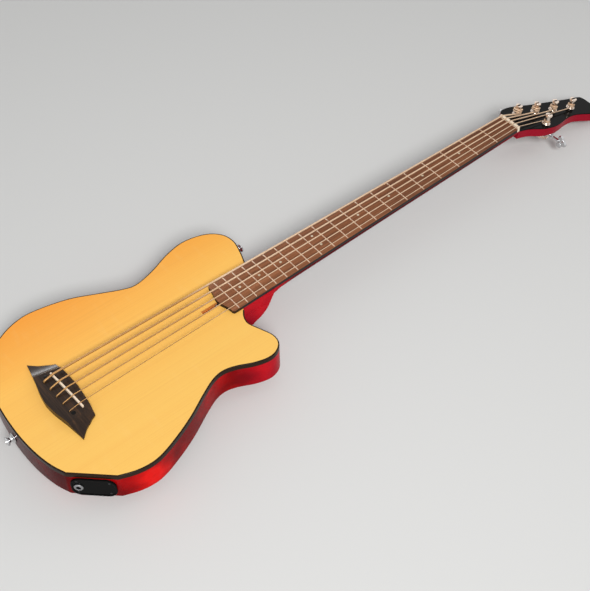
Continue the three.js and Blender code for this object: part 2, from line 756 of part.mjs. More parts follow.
// The tilted head: local X across, Y towards the tip, Z out of its face
const headOrigin = new THREE.Vector3(0, nutY + nutLength + jointGap, bodyDepth);
const headFrame = new THREE.Matrix4().makeRotationX(-headTilt).setPosition(headOrigin);
const headShares = [
  [0.52, 0.05], [0.59, 0.13], [0.82, 0.245], [0.88, 0.327], [0.885, 0.394], [0.81, 0.48], [0.69, 0.572],
  [0.635, 0.67], [0.69, 0.748], [0.86, 0.85], [0.97, 0.923], [0.93, 0.962], [0.72, 0.985], [0.12, 1],
  [-0.2, 0.995], [-0.31, 0.962], [-0.37, 0.865], [-0.47, 0.745], [-0.6, 0.603], [-0.76, 0.428],
  [-0.88, 0.332], [-0.985, 0.231], [-1, 0.144], [-0.92, 0.087], [-0.66, 0.034],
];
const headOutline = () => {
  const half = nutWidth / 2;
  const points = headShares.map(([xShare, yShare]) =>
    new THREE.Vector2(xShare * headHalfWidth, yShare * headLength));
  const curve = new THREE.SplineCurve(points);
  const edge = curve.getPoints(headSteps);
  return [new THREE.Vector2(half, 0), ...edge, new THREE.Vector2(-half, 0)];
};
const headTop = -veneerThickness - glueGap;
const headBack = headTop - headWood;
const posts = [];
for (let i = 0; i < postCount; i += 1) {
  posts.push({ x: firstPost.x + i * postStep.x, y: firstPost.y + i * postStep.y, side: -1 });
}
posts.push({ x: treblePost.x, y: treblePost.y, side: 1 });
const postHoles = () => posts.map(({ x, y }) =>
  bar(postRadius + postHoleGap, headBack - overrun, overrun, holeSides).translate(x, y, 0));

const makeNeck = () => {
  const stations = [
    { y: nutY + nutLength, depth: neckDepthAtNut, round: 2.2 },
    { y: nutY, depth: neckDepthAtNut, round: 2.2 },
    { y: fretY(7), depth: (neckDepthAtNut + neckDepthAtHeel) / 2, round: 2.2 },
    { y: heelFrontTop + bodyDepth, depth: neckDepthAtHeel, round: 2.3 },
    { y: heelFrontTop + heelBlend, depth: neckDepthAtHeel + heelSwell, round: 2.6 },
    { y: heelFrontTop, depth: neckDepthAtHeel + 2 * heelSwell, round: 4 },
    { y: heelFrontSeam, depth: bodyDepth - seamHeight - jointGap, round: 8 },
    { y: (tenonEnd + heelFrontSeam) / 2, depth: bodyDepth - seamHeight - jointGap, round: 8 },
  ];
  const rings = stations.map(({ y, depth, round }) => {
    const half = Math.min(boardHalfWidthAt(Math.min(y, nutY)), tenonHalfWidth);
    const ring = [];
    for (let step = 0; step <= neckRoundSteps; step += 1) {
      const angle = (step / neckRoundSteps) * Math.PI;
      const x = half * Math.sign(Math.cos(angle)) * Math.abs(Math.cos(angle)) ** (2 / round);
      const z = bodyDepth - depth * Math.sin(angle) ** (2 / round);
      ring.push(new THREE.Vector3(x, y, z));
    }
    return ring;
  });
  const shaft = skin(rings, true);
  const tenonFloor = seamHeight + jointGap;
  const heel = drawAcross([
    [tenonEnd, tenonFloor], [heelFrontSeam, tenonFloor],
    [(heelFrontSeam + heelFrontTop * 2) / 3, (tenonFloor + bodyDepth) / 2],
    [heelFrontTop, bodyDepth], [tenonEnd, bodyDepth],
  ].map(([y, z]) => new THREE.Vector2(y, z)), -tenonHalfWidth, tenonHalfWidth);
  const head = raise(headOutline(), headBack, headTop).applyMatrix4(headFrame);
  const rodSlot = boxBetween(
    [-trussRodWidth / 2 - trussRodGap, tenonEnd - overrun, bodyDepth - trussRodDepth - trussRodGap],
    [trussRodWidth / 2 + trussRodGap, nutY - nutLength, bodyDepth + overrun]);
  const holes = postHoles().map((hole) => hole.applyMatrix4(headFrame));
  return cut(join(shaft, heel, head), rodSlot, ...holes);
};

const makeVeneer = () => {
  const sheet = raise(headOutline(), -veneerThickness, 0);
  const start = boxBetween(
    [-headHalfWidth, -overrun, -veneerThickness - overrun], [headHalfWidth, veneerThickness / 2, overrun]);
  return cut(sheet, start, ...postHoles());
};

// Truss rod, its round tip and the socket nut that the wrench turns
const trussAxisZ = bodyDepth - trussRodDepth / 2;
const makeTrussRod = () => {
  const rod = boxBetween(
    [-trussRodWidth / 2, tenonEnd, bodyDepth - trussRodDepth],
    [trussRodWidth / 2, nutY - nutLength - trussRodEndGap, bodyDepth - trussRodGap]);
  const tip = bar(trussTipDiameter / 2, -overrun, trussTipLength, holeSides);
  return join(rod, tip.rotateX(Math.PI / 2).translate(0, tenonEnd, trussAxisZ));
};

const makeTrussNut = () => {
  const body = bar(trussNutDiameter / 2, 0, trussNutLength, holeSides);
  const bore = bar(trussTipDiameter / 2 + trussRodGap, -overrun, trussTipLength, holeSides);
  const hexFloor = trussNutLength - trussHexDepth;
  const hex = bar(trussHexWidth / Math.sqrt(3), hexFloor, trussNutLength + overrun, 6);
  return cut(body, bore, hex);
};

// Tuners, each in the head's frame with its post on the local Z axis
const gearPitchRadius = (gearModule * gearTeeth) / 2;
const wormOffset = gearPitchRadius + wormPitchRadius;
const wormPitch = Math.PI * gearModule;
const tunerPlateTop = headBack - tunerSeatGap;
const tunerPlateUnder = tunerPlateTop - tunerPlateThickness;
const gearMiddle = tunerPlateUnder - wormPlateGap - wormPitchRadius - wormAddendum;
const gearTop = gearMiddle + gearThickness / 2;
const leadSlope = wormPitch / (2 * Math.PI * wormPitchRadius);

// Half widths of a gear tooth and of the thread, as shares of their pitch
const toothRootShare = 0.27;
const toothTipShare = 0.09;
const threadRootShare = 0.29;
const threadCrestShare = 0.08;

// Gear teeth lean by the worm's lead, and a quarter tooth of turn sets them in the thread
const makeGear = (side) => {
  const tip = gearPitchRadius + gearAddendum;
  const root = gearPitchRadius - gearDedendum;
  const corners = [
    [root, -toothRootShare], [tip, -toothTipShare], [tip, toothTipShare], [root, toothRootShare],
  ];
  const lean = (leadSlope * gearThickness) / 2 / gearPitchRadius;
  const ring = (z, turn) => {
    const points = [];
    for (let tooth = 0; tooth < gearTeeth; tooth += 1) {
      for (const [radius, share] of corners) {
        const place = (tooth + share + (2 + side) / 4) / gearTeeth;
        const angle = Math.PI / 2 + place * 2 * Math.PI + turn;
        points.push(new THREE.Vector3(radius * Math.cos(angle), radius * Math.sin(angle), z));
      }
    }
    return points;
  };
  return skin([ring(gearTop - gearThickness, -lean), ring(gearTop, lean)]);
};

const makePost = (side) => {
  const low = gearTop - gearThickness - gearScrewHeight;
  const stem = turned([
    [0, low], [gearScrewRadius, low], [gearScrewRadius, gearTop - gearThickness / 2],
    [postRadius, gearTop - gearThickness / 2], [postRadius, tunerSeatGap], [collarRadius, tunerSeatGap],
    [collarRadius, collarTop], [waistRadius, collarTop + postChamfer], [waistRadius, waistTop],
    [knobRadius, waistTop + postChamfer], [knobRadius, postTop - postChamfer],
    [knobRadius - postChamfer, postTop], [0, postTop],
  ], postSides);
  const slot = boxBetween(
    [-postSlotWidth / 2, -knobRadius - overrun, postTop - postSlotDepth],
    [postSlotWidth / 2, knobRadius + overrun, postTop + overrun]);
  return cut(join(stem, makeGear(side)), slot);
};

// One thread wound round the shaft, seen along the shaft on the local Z axis
const makeWorm = () => {
  const crest = wormPitchRadius + wormAddendum;
  const turns = (2 * wormHalfLength - wormPitch) / wormPitch;
  const corners = [
    [shaftRadius - wormSink, -threadRootShare], [shaftRadius - wormSink, threadRootShare],
    [crest, threadCrestShare], [crest, -threadCrestShare],
  ];
  const rings = [];
  for (let step = 0; step <= Math.round(turns * wormStepsPerTurn); step += 1) {
    const turn = step / wormStepsPerTurn - turns / 2;
    const angle = turn * 2 * Math.PI;
    rings.push(corners.map(([radius, share]) => new THREE.Vector3(
      radius * Math.cos(angle), radius * Math.sin(angle), (turn + share) * wormPitch)));
  }
  return skin(rings);
};

// Cloverleaf button, worm and shaft in one, along local Z from the worm's middle
const makeKey = () => {
  const shaft = turned([
    [0, -shaftEnd], [shaftRadius, -shaftEnd], [shaftRadius, stalkStart],
    [stalkRadius, stalkStart], [stalkWaistRadius, stalkStart + stalkFlare],
    [stalkWaistRadius, buttonStart - stalkFlare], [stalkRadius, buttonStart + lobeRow / 2],
    [0, buttonStart + lobeRow],
  ], smallSides);
  const lobe = (across, along) => {
    const disc = turned([
      [0, -lobeThickness / 2], [lobeFlatRadius, -lobeThickness / 2], [lobeRadius, 0],
      [lobeFlatRadius, lobeThickness / 2], [0, lobeThickness / 2],
    ], smallSides);
    return disc.rotateX(Math.PI / 2).translate(across, 0, buttonStart + along);
  };
  return join(shaft, makeWorm(), lobe(-lobeSpread, lobeRow), lobe(lobeSpread, lobeRow), lobe(0, tipLobeRow));
};

// Base plate with two lugs that carry the key's shaft
const makeTunerPlate = () => {
  const outline = new THREE.Shape();
  const [left, right] = [-tunerPlateHalfWidth, tunerPlateHalfWidth];
  const [low, high, corner] = [-tunerPlateBelow, tunerPlateAbove, tunerPlateCorner];
  outline.moveTo(left + corner, low);
  outline.lineTo(right - corner, low);
  outline.absarc(right - corner, low + corner, corner, -Math.PI / 2, 0);
  outline.absarc(right - corner, high - corner, corner, 0, Math.PI / 2);
  outline.absarc(left + corner, high - corner, corner, Math.PI / 2, Math.PI);
  outline.absarc(left + corner, low + corner, corner, Math.PI, Math.PI * 3 / 2);
  const sheet = raise(outline.getPoints(cornerSteps), tunerPlateUnder, tunerPlateTop);
  const lugLow = gearMiddle - lugHalfWidth;
  const lug = (x) => boxBetween(
    [x - lugThickness / 2, wormOffset - lugHalfWidth, lugLow],
    [x + lugThickness / 2, wormOffset + lugHalfWidth, tunerPlateTop - tunerPlateThickness / 2]);
  const lugX = stalkStart - lugThickness / 2 - tunerSeatGap - lugInset;
  const shaftHole = bar(shaftRadius + shaftGap, -stalkStart - overrun, stalkStart + overrun, holeSides);
  shaftHole.rotateY(Math.PI / 2).translate(0, wormOffset, gearMiddle);
  const postHole = bar(
    postRadius + postHoleGap, tunerPlateUnder - overrun, tunerPlateTop + overrun, holeSides);
  return cut(join(sheet, lug(-lugX), lug(lugX)), shaftHole, postHole);
};

// Strings: ball end under the bridge plate, over saddle and nut, wound on the post
const leastTurnGaps = [];
const makeString = (i) => {
  const radius = stringDiameters[i] / 2;
  const { x: postX, y: postY, side } = posts[i];
  const holeX = saddleX(i);
  const holeY = -stringHoleRow;
  const ballTop = topUnder - bridgePlateThickness - ballGap;
  const points = [];
  const radii = [];
  const add = (point, size = radius) => {
    points.push(point);
    radii.push(size);
  };
  add(new THREE.Vector3(holeX, holeY, ballTop - ballLength), ballDiameter / 2 - ballChamfer);
  add(new THREE.Vector3(holeX, holeY, ballTop - ballLength + ballChamfer), ballDiameter / 2);
  add(new THREE.Vector3(holeX, holeY, ballTop - ballChamfer), ballDiameter / 2);
  add(new THREE.Vector3(holeX, holeY, ballTop));
  add(new THREE.Vector3(holeX, holeY, bridgeTop + radius + jointGap));
  const slantY = saddleX(i) * Math.tan(saddleSlant) + saddlePeak;
  const overSaddle = saddleUnder(i) + radius;
  add(new THREE.Vector3(saddleX(i), slantY, overSaddle));
  const nutPoint = new THREE.Vector3(nutX(i), nutBreakY, nutUnder(i) + radius);
  add(nutPoint);
  const toHead = headFrame.clone().invert();
  const start = nutPoint.clone().applyMatrix4(toHead);
  const wrapRadius = waistRadius + wrapGap + radius;
  const away = new THREE.Vector2(postX - start.x, postY - start.y);
  const lean = Math.acos(-wrapRadius / away.length());
  const first = away.angle() + side * lean;
  const wrapLow = collarTop + wrapGap * 2 + radius;
  const pitch = 2 * radius + turnGap;
  const place = (step) => {
    const turn = step / wrapStepsPerTurn;
    const angle = first - side * turn * 2 * Math.PI;
    return new THREE.Vector3(
      postX + wrapRadius * Math.cos(angle), postY + wrapRadius * Math.sin(angle), wrapLow + pitch * turn);
  };
  const wraps = [];
  for (let step = 0; step <= wrapTurns * wrapStepsPerTurn; step += 1) {
    wraps.push(place(step));
  }
  const tail = wraps.at(-1).clone().sub(wraps.at(-2)).setLength(2 * radius);
  wraps.push(wraps.at(-1).clone().add(tail));
  let least = Infinity;
  wraps.forEach((point, a) => {
    for (let b = a + wrapStepsPerTurn / 2; b < wraps.length; b += 1) {
      least = Math.min(least, point.distanceTo(wraps[b]) - 2 * radius);
    }
  });
  leastTurnGaps.push(least);
  wraps.forEach((point) => add(point.applyMatrix4(headFrame)));
  return sweep(points, radii, stringSides);
};

// Jack plate on the facet, with a raised rim, and the output jack
const roundedPlate = (length, height, corner) => {
  const outline = new THREE.Shape();
  const [x, y] = [length / 2 - corner, height / 2 - corner];
  outline.absarc(x, y, corner, 0, Math.PI / 2);
  outline.absarc(-x, y, corner, Math.PI / 2, Math.PI);
  outline.absarc(-x, -y, corner, Math.PI, Math.PI * 3 / 2);
  outline.absarc(x, -y, corner, Math.PI * 3 / 2, Math.PI * 2);
  return outline.getPoints(cornerSteps).slice(0, -1);
};
const plateFace = jackPlateGap + jackPlateThickness;

const makeJackPlate = () => {
  const outline = roundedPlate(jackPlateLength, jackPlateHeight, jackPlateCorner);
  const plate = raise(outline, jackPlateGap, plateFace + jackPlateRimHeight);
  const recess = raise(roundedPlate(
    jackPlateLength - 2 * jackPlateRim, jackPlateHeight - 2 * jackPlateRim,
    jackPlateCorner - jackPlateRim), plateFace, plateFace + jackPlateRimHeight + overrun);
  const hole = bar(jackBarrelRadius + jointGap, -overrun, plateFace + overrun, turnedSides);
  return cut(plate, recess, hole.translate(-jackOffset, 0, 0));
};

const makeJack = () => {
  const face = plateFace + jackSeatGap;
  const body = turned([
    [0, -jackBarrelLength], [jackBarrelRadius, -jackBarrelLength], [jackBarrelRadius, face],
    [jackFlangeRadius, face], [jackFlangeRadius, face + jackFlangeHeight - jackFlangeChamfer],
    [jackFlangeRadius - jackFlangeChamfer, face + jackFlangeHeight], [0, face + jackFlangeHeight],
  ], turnedSides);
  const ringFace = face + jackFlangeHeight;
  const bore = bar(jackBoreRadius, ringFace - jackBoreDepth, ringFace + overrun, turnedSides);
  return cut(body, bore);
};

// Preamp box on the floor of the body, with the battery in its bay
const makePreamp = () => {
  const { x, y } = preampCorner;
  const box = boxBetween(
    [x, y, backThickness], [x + preampSize.x, y + preampSize.y, backThickness + preampSize.z]);
  const inset = (preampSize.y - batterySize.y) / 2 - batteryGap;
  const bay = boxBetween(
    [x + inset, y + inset, backThickness + preampSize.z - batterySize.z],
    [x + inset + batterySize.x + 2 * batteryGap, y + inset + batterySize.y + 2 * batteryGap,
      backThickness + preampSize.z + overrun]);
  return cut(box, bay);
};

const makeBattery = () => {
  const inset = (preampSize.y - batterySize.y) / 2;
  const low = [preampCorner.x + inset, preampCorner.y + inset, backThickness + preampSize.z - batterySize.z];
  return boxBetween(low, [low[0] + batterySize.x, low[1] + batterySize.y, low[2] + batterySize.z]);
};

// Strap button on its screw, along local Z out of the body. Its steps are shares of its length,
// and its face is a share of the disc's radius.
const buttonShares = { base: 0.12, waistLow: 0.3, waistHigh: 0.6, disc: 0.8, rim: 0.92, face: 0.9 };
const makeStrapButton = () => turned([
  [0, -buttonShankLength], [buttonShankRadius, -buttonShankLength], [buttonShankRadius, 0],
  [buttonBaseRadius, 0], [buttonBaseRadius, buttonLength * buttonShares.base],
  [buttonWaistRadius, buttonLength * buttonShares.waistLow],
  [buttonWaistRadius, buttonLength * buttonShares.waistHigh],
  [buttonDiscRadius, buttonLength * buttonShares.disc],
  [buttonDiscRadius, buttonLength * buttonShares.rim],
  [buttonDiscRadius * buttonShares.face, buttonLength], [0, buttonLength],
], turnedSides);

// The whole guitar
const bass = new THREE.Group();
const addPiece = (name, geometry, material, parent = bass) => {
  const mesh = new THREE.Mesh(geometry, material);
  mesh.name = name;
  parent.add(mesh);
  return mesh;
};

addPiece("body", makeBody(), redMahogany);
addPiece("top", makeTop(), amberSpruce);
addPiece("binding", makeBinding(), blackPlastic);
addPiece("top_braces", makeBraces(), bareSpruce);
addPiece("bridge_plate", makeBridgePlate(), bareMaple);
addPiece("bridge", makeBridge(), darkRosewood);
addPiece("saddle", makeSaddle(), bone);
addPiece("saddle_pickup", makePickup(), steel);
addPiece("neck", makeNeck(), redMahogany);
addPiece("fretboard", makeBoard(), rosewood);
addPiece("nut", makeNut(), bone);
addPiece("truss_rod", makeTrussRod(), steel);
const trussNut = addPiece("truss_nut", makeTrussNut(), steel);
trussNut.rotateX(Math.PI / 2);
trussNut.position.set(0, tenonEnd - trussNutPlay, trussAxisZ);
for (let n = 1; n <= fretCount; n += 1) {
  addPiece(`fret_${n}`, makeFret(n), nickelSilver);
}
stringDiameters.forEach((_, i) => addPiece(`string_${i + 1}`, makeString(i), bronze));

const head = new THREE.Group();
head.position.copy(headOrigin);
head.rotation.x = -headTilt;
bass.add(head);
addPiece("head_veneer", makeVeneer(), blackGloss, head);
posts.forEach(({ x, y, side }, i) => {
  const tuner = new THREE.Group();
  tuner.position.set(x, y, 0);
  head.add(tuner);
  addPiece(`tuner_plate_${i + 1}`, makeTunerPlate(), chrome, tuner);
  addPiece(`tuner_post_${i + 1}`, makePost(side), chrome, tuner);
  const key = addPiece(`tuner_key_${i + 1}`, makeKey(), chrome, tuner);
  key.rotation.y = side * Math.PI / 2;
  key.position.set(0, wormOffset, gearMiddle);
});

const facet = new THREE.Group();
facet.applyMatrix4(facetFrame);
bass.add(facet);
addPiece("jack_plate", makeJackPlate(), blackGloss, facet);
const jack = addPiece("output_jack", makeJack(), chrome, facet);
jack.position.x = -jackOffset;
addPiece("preamp", makePreamp(), blackPlastic);
addPiece("battery", makeBattery(), batteryWrap);

const tailButton = addPiece("strap_button_tail", makeStrapButton(), chrome);
tailButton.rotation.x = Math.PI / 2;
tailButton.position.set(tailButtonX, -tailReach - bindingWidth - buttonSeatGap, tailButtonZ);
const upperButton = addPiece("strap_button_upper", makeStrapButton(), chrome);
upperButton.rotation.x = -Math.PI / 2;
upperButton.position.set(upperButtonX, bodyLength - tailReach + bindingWidth + buttonSeatGap, upperButtonZ);

console.log("least gap between string turns, mm:", Math.min(...leastTurnGaps).toFixed(2));

export default bass;
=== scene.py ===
"""Acoustic bass guitar with a cutaway body, a tilted head and open-gear tuners."""

import math
from contextlib import contextmanager

import bmesh
import bpy
from mathutils import Matrix, Quaternion, Vector


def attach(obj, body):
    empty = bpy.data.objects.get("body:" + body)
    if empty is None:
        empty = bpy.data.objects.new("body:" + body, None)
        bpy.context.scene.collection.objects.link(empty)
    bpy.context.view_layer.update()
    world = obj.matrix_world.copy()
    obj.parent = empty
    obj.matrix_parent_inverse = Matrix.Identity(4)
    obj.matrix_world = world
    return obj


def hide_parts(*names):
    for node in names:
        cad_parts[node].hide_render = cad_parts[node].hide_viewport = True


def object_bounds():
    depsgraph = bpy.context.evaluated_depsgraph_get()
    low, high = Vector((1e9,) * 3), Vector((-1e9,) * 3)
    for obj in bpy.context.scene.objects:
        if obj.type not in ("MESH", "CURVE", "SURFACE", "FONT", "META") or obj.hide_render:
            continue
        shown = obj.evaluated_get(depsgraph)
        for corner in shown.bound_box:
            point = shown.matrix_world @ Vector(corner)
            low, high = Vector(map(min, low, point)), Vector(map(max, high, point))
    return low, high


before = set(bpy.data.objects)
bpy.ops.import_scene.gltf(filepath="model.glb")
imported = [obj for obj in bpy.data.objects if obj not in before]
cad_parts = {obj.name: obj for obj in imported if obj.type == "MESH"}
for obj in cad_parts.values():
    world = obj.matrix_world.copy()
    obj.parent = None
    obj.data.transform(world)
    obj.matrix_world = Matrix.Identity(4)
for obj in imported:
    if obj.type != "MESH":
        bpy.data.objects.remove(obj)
cad_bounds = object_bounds()
mm = 0.001


# The camera stands above the treble side of the body with a long lens, so that the neck
# runs away to the upper right, as in the photograph.
def in_scene(name, data):
    """An object of the scene that shows the given data."""
    made = bpy.data.objects.new(name, data)
    bpy.context.collection.objects.link(made)
    return made


camera_data = bpy.data.cameras.new("long_lens")
camera_data.lens = 71.554
camera_data.sensor_width = 36
camera_data.clip_start = 0.05
camera_place = Vector((0.948086, -0.348546, 1.362255))
camera_turn = Quaternion((0.847972, 0.312390, 0.155108, 0.399120))
camera = in_scene("long_lens", camera_data)
camera.matrix_world = Matrix.LocRotScale(camera_place, camera_turn, None)
bpy.context.scene.camera = camera
bpy.context.scene.view_settings.view_transform = "Standard"


# The nodes of every finish and of every grown piece are added one call at a time, and sums on
# their sockets are written as plain sums.
class Wire:
    """A node's socket that can stand in a sum."""

    def __init__(self, graph, socket):
        self.graph = graph
        self.socket = socket

    def sum(self, operation, first, second):
        return self.graph.node("ShaderNodeMath", {0: first, 1: second}, operation=operation)

    def __add__(self, other):
        return self.sum("ADD", self, other)

    def __sub__(self, other):
        return self.sum("SUBTRACT", self, other)

    def __rsub__(self, other):
        return self.sum("SUBTRACT", other, self)

    def __mul__(self, other):
        return self.sum("MULTIPLY", self, other)

    def __pow__(self, other):
        return self.sum("POWER", self, other)

    def __or__(self, other):
        return self.sum("MAXIMUM", self, other)


class Graph:
    """A node tree, of a finish or of a grown piece."""

    def __init__(self, tree):
        self.tree = tree

    @staticmethod
    def find(sockets, key):
        if isinstance(key, int):
            return sockets[key]
        for socket in sockets:
            if key == socket.identifier or (key == socket.name and socket.enabled):
                return socket
        raise KeyError(key)

    def node(self, kind, sockets=None, out=0, **settings):
        made = self.tree.nodes.new(kind)
        for name, value in settings.items():
            setattr(made, name, value)
        for key, value in (sockets or {}).items():
            socket = self.find(made.inputs, key)
            if isinstance(value, Wire):
                self.tree.links.new(value.socket, socket)
            else:
                socket.default_value = value
        return Wire(self, self.find(made.outputs, out)) if made.outputs else None


class Finish(Graph):
    """A material. Its patterns lie on the piece, in metres."""

    def __init__(self, name):
        self.material = bpy.data.materials.new(name)
        self.material.use_nodes = True
        super().__init__(self.material.node_tree)
        self.tree.nodes.clear()
        self.place = self.node("ShaderNodeTexCoord", out="Object")

    def noise(self, scale, stretch=(1, 1, 1), detail=3, roughness=0.5, shift=(0, 0, 0)):
        place = self.node("ShaderNodeMapping", {
            "Vector": self.place, "Scale": stretch, "Location": shift})
        return self.node("ShaderNodeTexNoise", {
            "Vector": place, "Scale": scale, "Detail": detail, "Roughness": roughness})

    def along(self, axis):
        return self.node("ShaderNodeSeparateXYZ", {"Vector": self.place}, axis)

    def upward(self):
        normal = self.node("ShaderNodeNewGeometry", out="Normal")
        return self.node("ShaderNodeSeparateXYZ", {"Vector": normal}, "Z")

    def ramp(self, value, *stops):
        ramp = self.node("ShaderNodeValToRGB", {"Fac": value})
        elements = ramp.socket.node.color_ramp.elements
        while len(elements) < len(stops):
            elements.new(1)
        for element, (place, colour) in zip(elements, stops):
            element.position = place
            element.color = (*colour, 1)
        return ramp

    def mix(self, share, first, second):
        sockets = {"Factor_Float": share, "A_Color": first, "B_Color": second}
        return self.node("ShaderNodeMix", sockets, "Result_Color", data_type="RGBA")

    def span(self, value, low, high, to_low=0, to_high=1):
        return self.node("ShaderNodeMapRange", {
            "Value": value, "From Min": low, "From Max": high, "To Min": to_low, "To Max": to_high})

    def tinted(self, tone, value, low, high, share, colour):
        """The tone, drawn by up to a share towards a colour as the value rises."""
        return self.mix(self.span(value, low, high, 0, share), tone, (*colour, 1))

    def bump(self, height, distance, strength):
        return self.node("ShaderNodeBump", {
            "Height": height, "Distance": distance, "Strength": strength}, "Normal")

    def surface(self, **sockets):
        named = {name.replace("_", " "): value for name, value in sockets.items()}
        shader = self.node("ShaderNodeBsdfPrincipled", named)
        self.node("ShaderNodeOutputMaterial", {"Surface": shader})
        return self.material


# The studio is a wide sheet of pale paper under soft lamps: a large one over the treble side,
# one beyond the bass side that draws the sheen of the bridge, and a weak one behind the head.
def meshed(name, points=(), edges=(), faces=()):
    """An object of the scene, made of the given points, edges and faces."""
    mesh = bpy.data.meshes.new(name)
    mesh.from_pydata([tuple(point) for point in points], edges, faces)
    return in_scene(name, mesh)


paper_size = 80
paper_gap = 1 * mm
paper_colour = (0.70, 0.70, 0.69, 1)
half = paper_size / 2
level = cad_bounds[0].z - paper_gap
paper = meshed(
    "paper", [(-half, -half, level), (half, -half, level), (half, half, level), (-half, half, level)],
    [], [(0, 1, 2, 3)])
paper.data.materials.append(Finish("matt_paper").surface(
    Base_Color=paper_colour, Roughness=0.9, Specular_IOR_Level=0.1))

world = bpy.data.worlds.new("pale_room")
world.use_nodes = True
world.node_tree.nodes.clear()
bpy.context.scene.world = world
room = Graph(world.node_tree)
seen = (room.node("ShaderNodeLightPath", out="Is Camera Ray")
        | room.node("ShaderNodeLightPath", out="Is Glossy Ray")
        | room.node("ShaderNodeLightPath", out="Is Transmission Ray"))
room_fill = 0.4
backdrop = room.node("ShaderNodeBackground", {
    "Color": (1, 1, 1, 1), "Strength": seen * (1 - room_fill) + room_fill})
room.node("ShaderNodeOutputWorld", {"Surface": backdrop})

lamps = {
    "treble_softbox": ((2.66, -0.98, 3.04), (0.1, 0.15, 0), 1.2, 27, 80),
    "bass_sheen": ((-1.22, 0.36, 0.50), (0, -0.05, 0.06), 0.3, 5.5, 180),
    "head_softbox": ((0.7, 1.75, 1.2), (0, 0.8, 0), 0.7, 2, 180),
}
for lamp_name, (lamp_place, lamp_aim, lamp_size, lamp_power, lamp_spread) in lamps.items():
    lamp_data = bpy.data.lights.new(lamp_name, "AREA")
    lamp_data.size = lamp_size
    lamp_data.energy = lamp_power
    lamp_data.spread = math.radians(lamp_spread)
    lamp = in_scene(lamp_name, lamp_data)
    lamp_turn = (Vector(lamp_aim) - Vector(lamp_place)).to_track_quat("-Z", "Y")
    lamp.matrix_world = Matrix.LocRotScale(Vector(lamp_place), lamp_turn, None)
    lamp.visible_diffuse = lamp_name != "bass_sheen"


# The body is one routed piece of mahogany with a rounded back edge, under a translucent red
# lacquer. The heel, the truss rod and the jack have their cuts in it.
@contextmanager
def mesh_work(piece):
    """The piece's mesh, open for changes."""
    work = bmesh.new()
    work.from_mesh(piece.data)
    yield work
    work.to_mesh(piece.data)
    work.free()


def shaped(name, points, faces):
    """A mesh object at the origin, with its faces pointing out."""
    piece = meshed(name, points, [], faces)
    with mesh_work(piece) as work:
        bmesh.ops.remove_doubles(work, verts=work.verts, dist=0.001 * mm)
        bmesh.ops.recalc_face_normals(work, faces=work.faces)
    return piece


def skin(name, rings, looped=False):
    """A closed skin over rings with the same count of points."""
    count = len(rings[0])
    faces = []
    for ring in range(len(rings) if looped else len(rings) - 1):
        for side in range(count):
            low, high = ring * count, (ring + 1) % len(rings) * count
            after = (side + 1) % count
            faces.append((low + side, low + after, high + after, high + side))
    if not looped:
        faces.append(tuple(range(count)))
        faces.append(tuple(range((len(rings) - 1) * count, len(rings) * count)))
    return shaped(name, [point for ring in rings for point in ring], faces)


def at_height(outline, height):
    return [(x, y, height) for x, y in outline]


def raised(name, outline, low, high):
    return skin(name, [at_height(outline, low), at_height(outline, high)])


def block(name, low, high):
    outline = [(low[0], low[1]), (high[0], low[1]), (high[0], high[1]), (low[0], high[1])]
    return raised(name, outline, low[2], high[2])


def arc(steps, turn=math.pi / 2, ends=1):
    """The cosine and sine at even steps of a turn, with or without its end."""
    angles = [step / steps * turn for step in range(steps + ends)]
    return [(math.cos(angle), math.sin(angle)) for angle in angles]


def settled(piece):
    """The piece with its modifiers worked into its mesh."""
    view = bpy.context.evaluated_depsgraph_get()
    mesh = bpy.data.meshes.new_from_object(piece.evaluated_get(view))
    piece.modifiers.clear()
    piece.data = mesh
    return piece


def worked(piece, kind, **settings):
    step = piece.modifiers.new(kind, kind)
    for name, value in settings.items():
        setattr(step, name, value)
    return settled(piece)


def combined(piece, others, operation):
    for other in others:
        worked(piece, "BOOLEAN", operation=operation, solver="EXACT", object=other)
        bpy.data.objects.remove(other)
    return piece


def cut(piece, *cutters):
    return combined(piece, cutters, "DIFFERENCE")


def smoothed(piece, sharp):
    piece.data.shade_smooth()
    piece.data.set_sharp_from_angle(angle=sharp)


def eased(piece, width, steps=2, sharp=math.radians(35)):
    """Rounds the sharp edges and shades the rest smooth."""
    with mesh_work(piece) as work:
        bmesh.ops.remove_doubles(work, verts=work.verts, dist=0.002 * mm)
        bmesh.ops.dissolve_limit(
            work, angle_limit=math.radians(0.3), verts=work.verts, edges=work.edges)
    if width > 0:
        worked(piece, "BEVEL", width=width, segments=steps, limit_method="ANGLE",
               angle_limit=sharp, use_clamp_overlap=True, harden_normals=True)
    smoothed(piece, sharp)
    return worked(piece, "WEIGHTED_NORMAL", keep_sharp=True)


def dressed(piece, material, slot, *nodes, body="guitar"):
    """Gives a finished piece its material and its body, and hides the nodes that it stands for; the
    slot is not used.
    """
    piece.data.materials.clear()
    piece.data.materials.append(material)
    if nodes:
        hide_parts(*nodes)
    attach(piece, body)
    return piece


def curve_through(shares, steps):
    """A smooth line through points, a fixed count of steps from each to the next."""
    points = [Vector(share) for share in shares]
    line = []
    for i in range(len(points) - 1):
        before, start = points[max(i - 1, 0)], points[i]
        end, after = points[i + 1], points[min(i + 2, len(points) - 1)]
        leave, arrive = (end - before) / 2, (after - start) / 2
        for step in range(steps):
            t = step / steps
            line.append(
                (2 * start - 2 * end + leave + arrive) * t**3
                + (3 * end - 3 * start - 2 * leave - arrive) * t**2 + leave * t + start)
    return line + [points[-1]]


def moved_out(outline, distance):
    moved = []
    for i, point in enumerate(outline):
        before, after = outline[max(i - 1, 0)], outline[min(i + 1, len(outline) - 1)]
        come = (point - before).normalized() if i > 0 else (after - point).normalized()
        go = (after - point).normalized() if i + 1 < len(outline) else come
        along = (come + go).normalized()
        reach = distance / along.dot(come)
        moved.append(Vector((point.x + along.y * reach, point.y - along.x * reach)))
    return moved


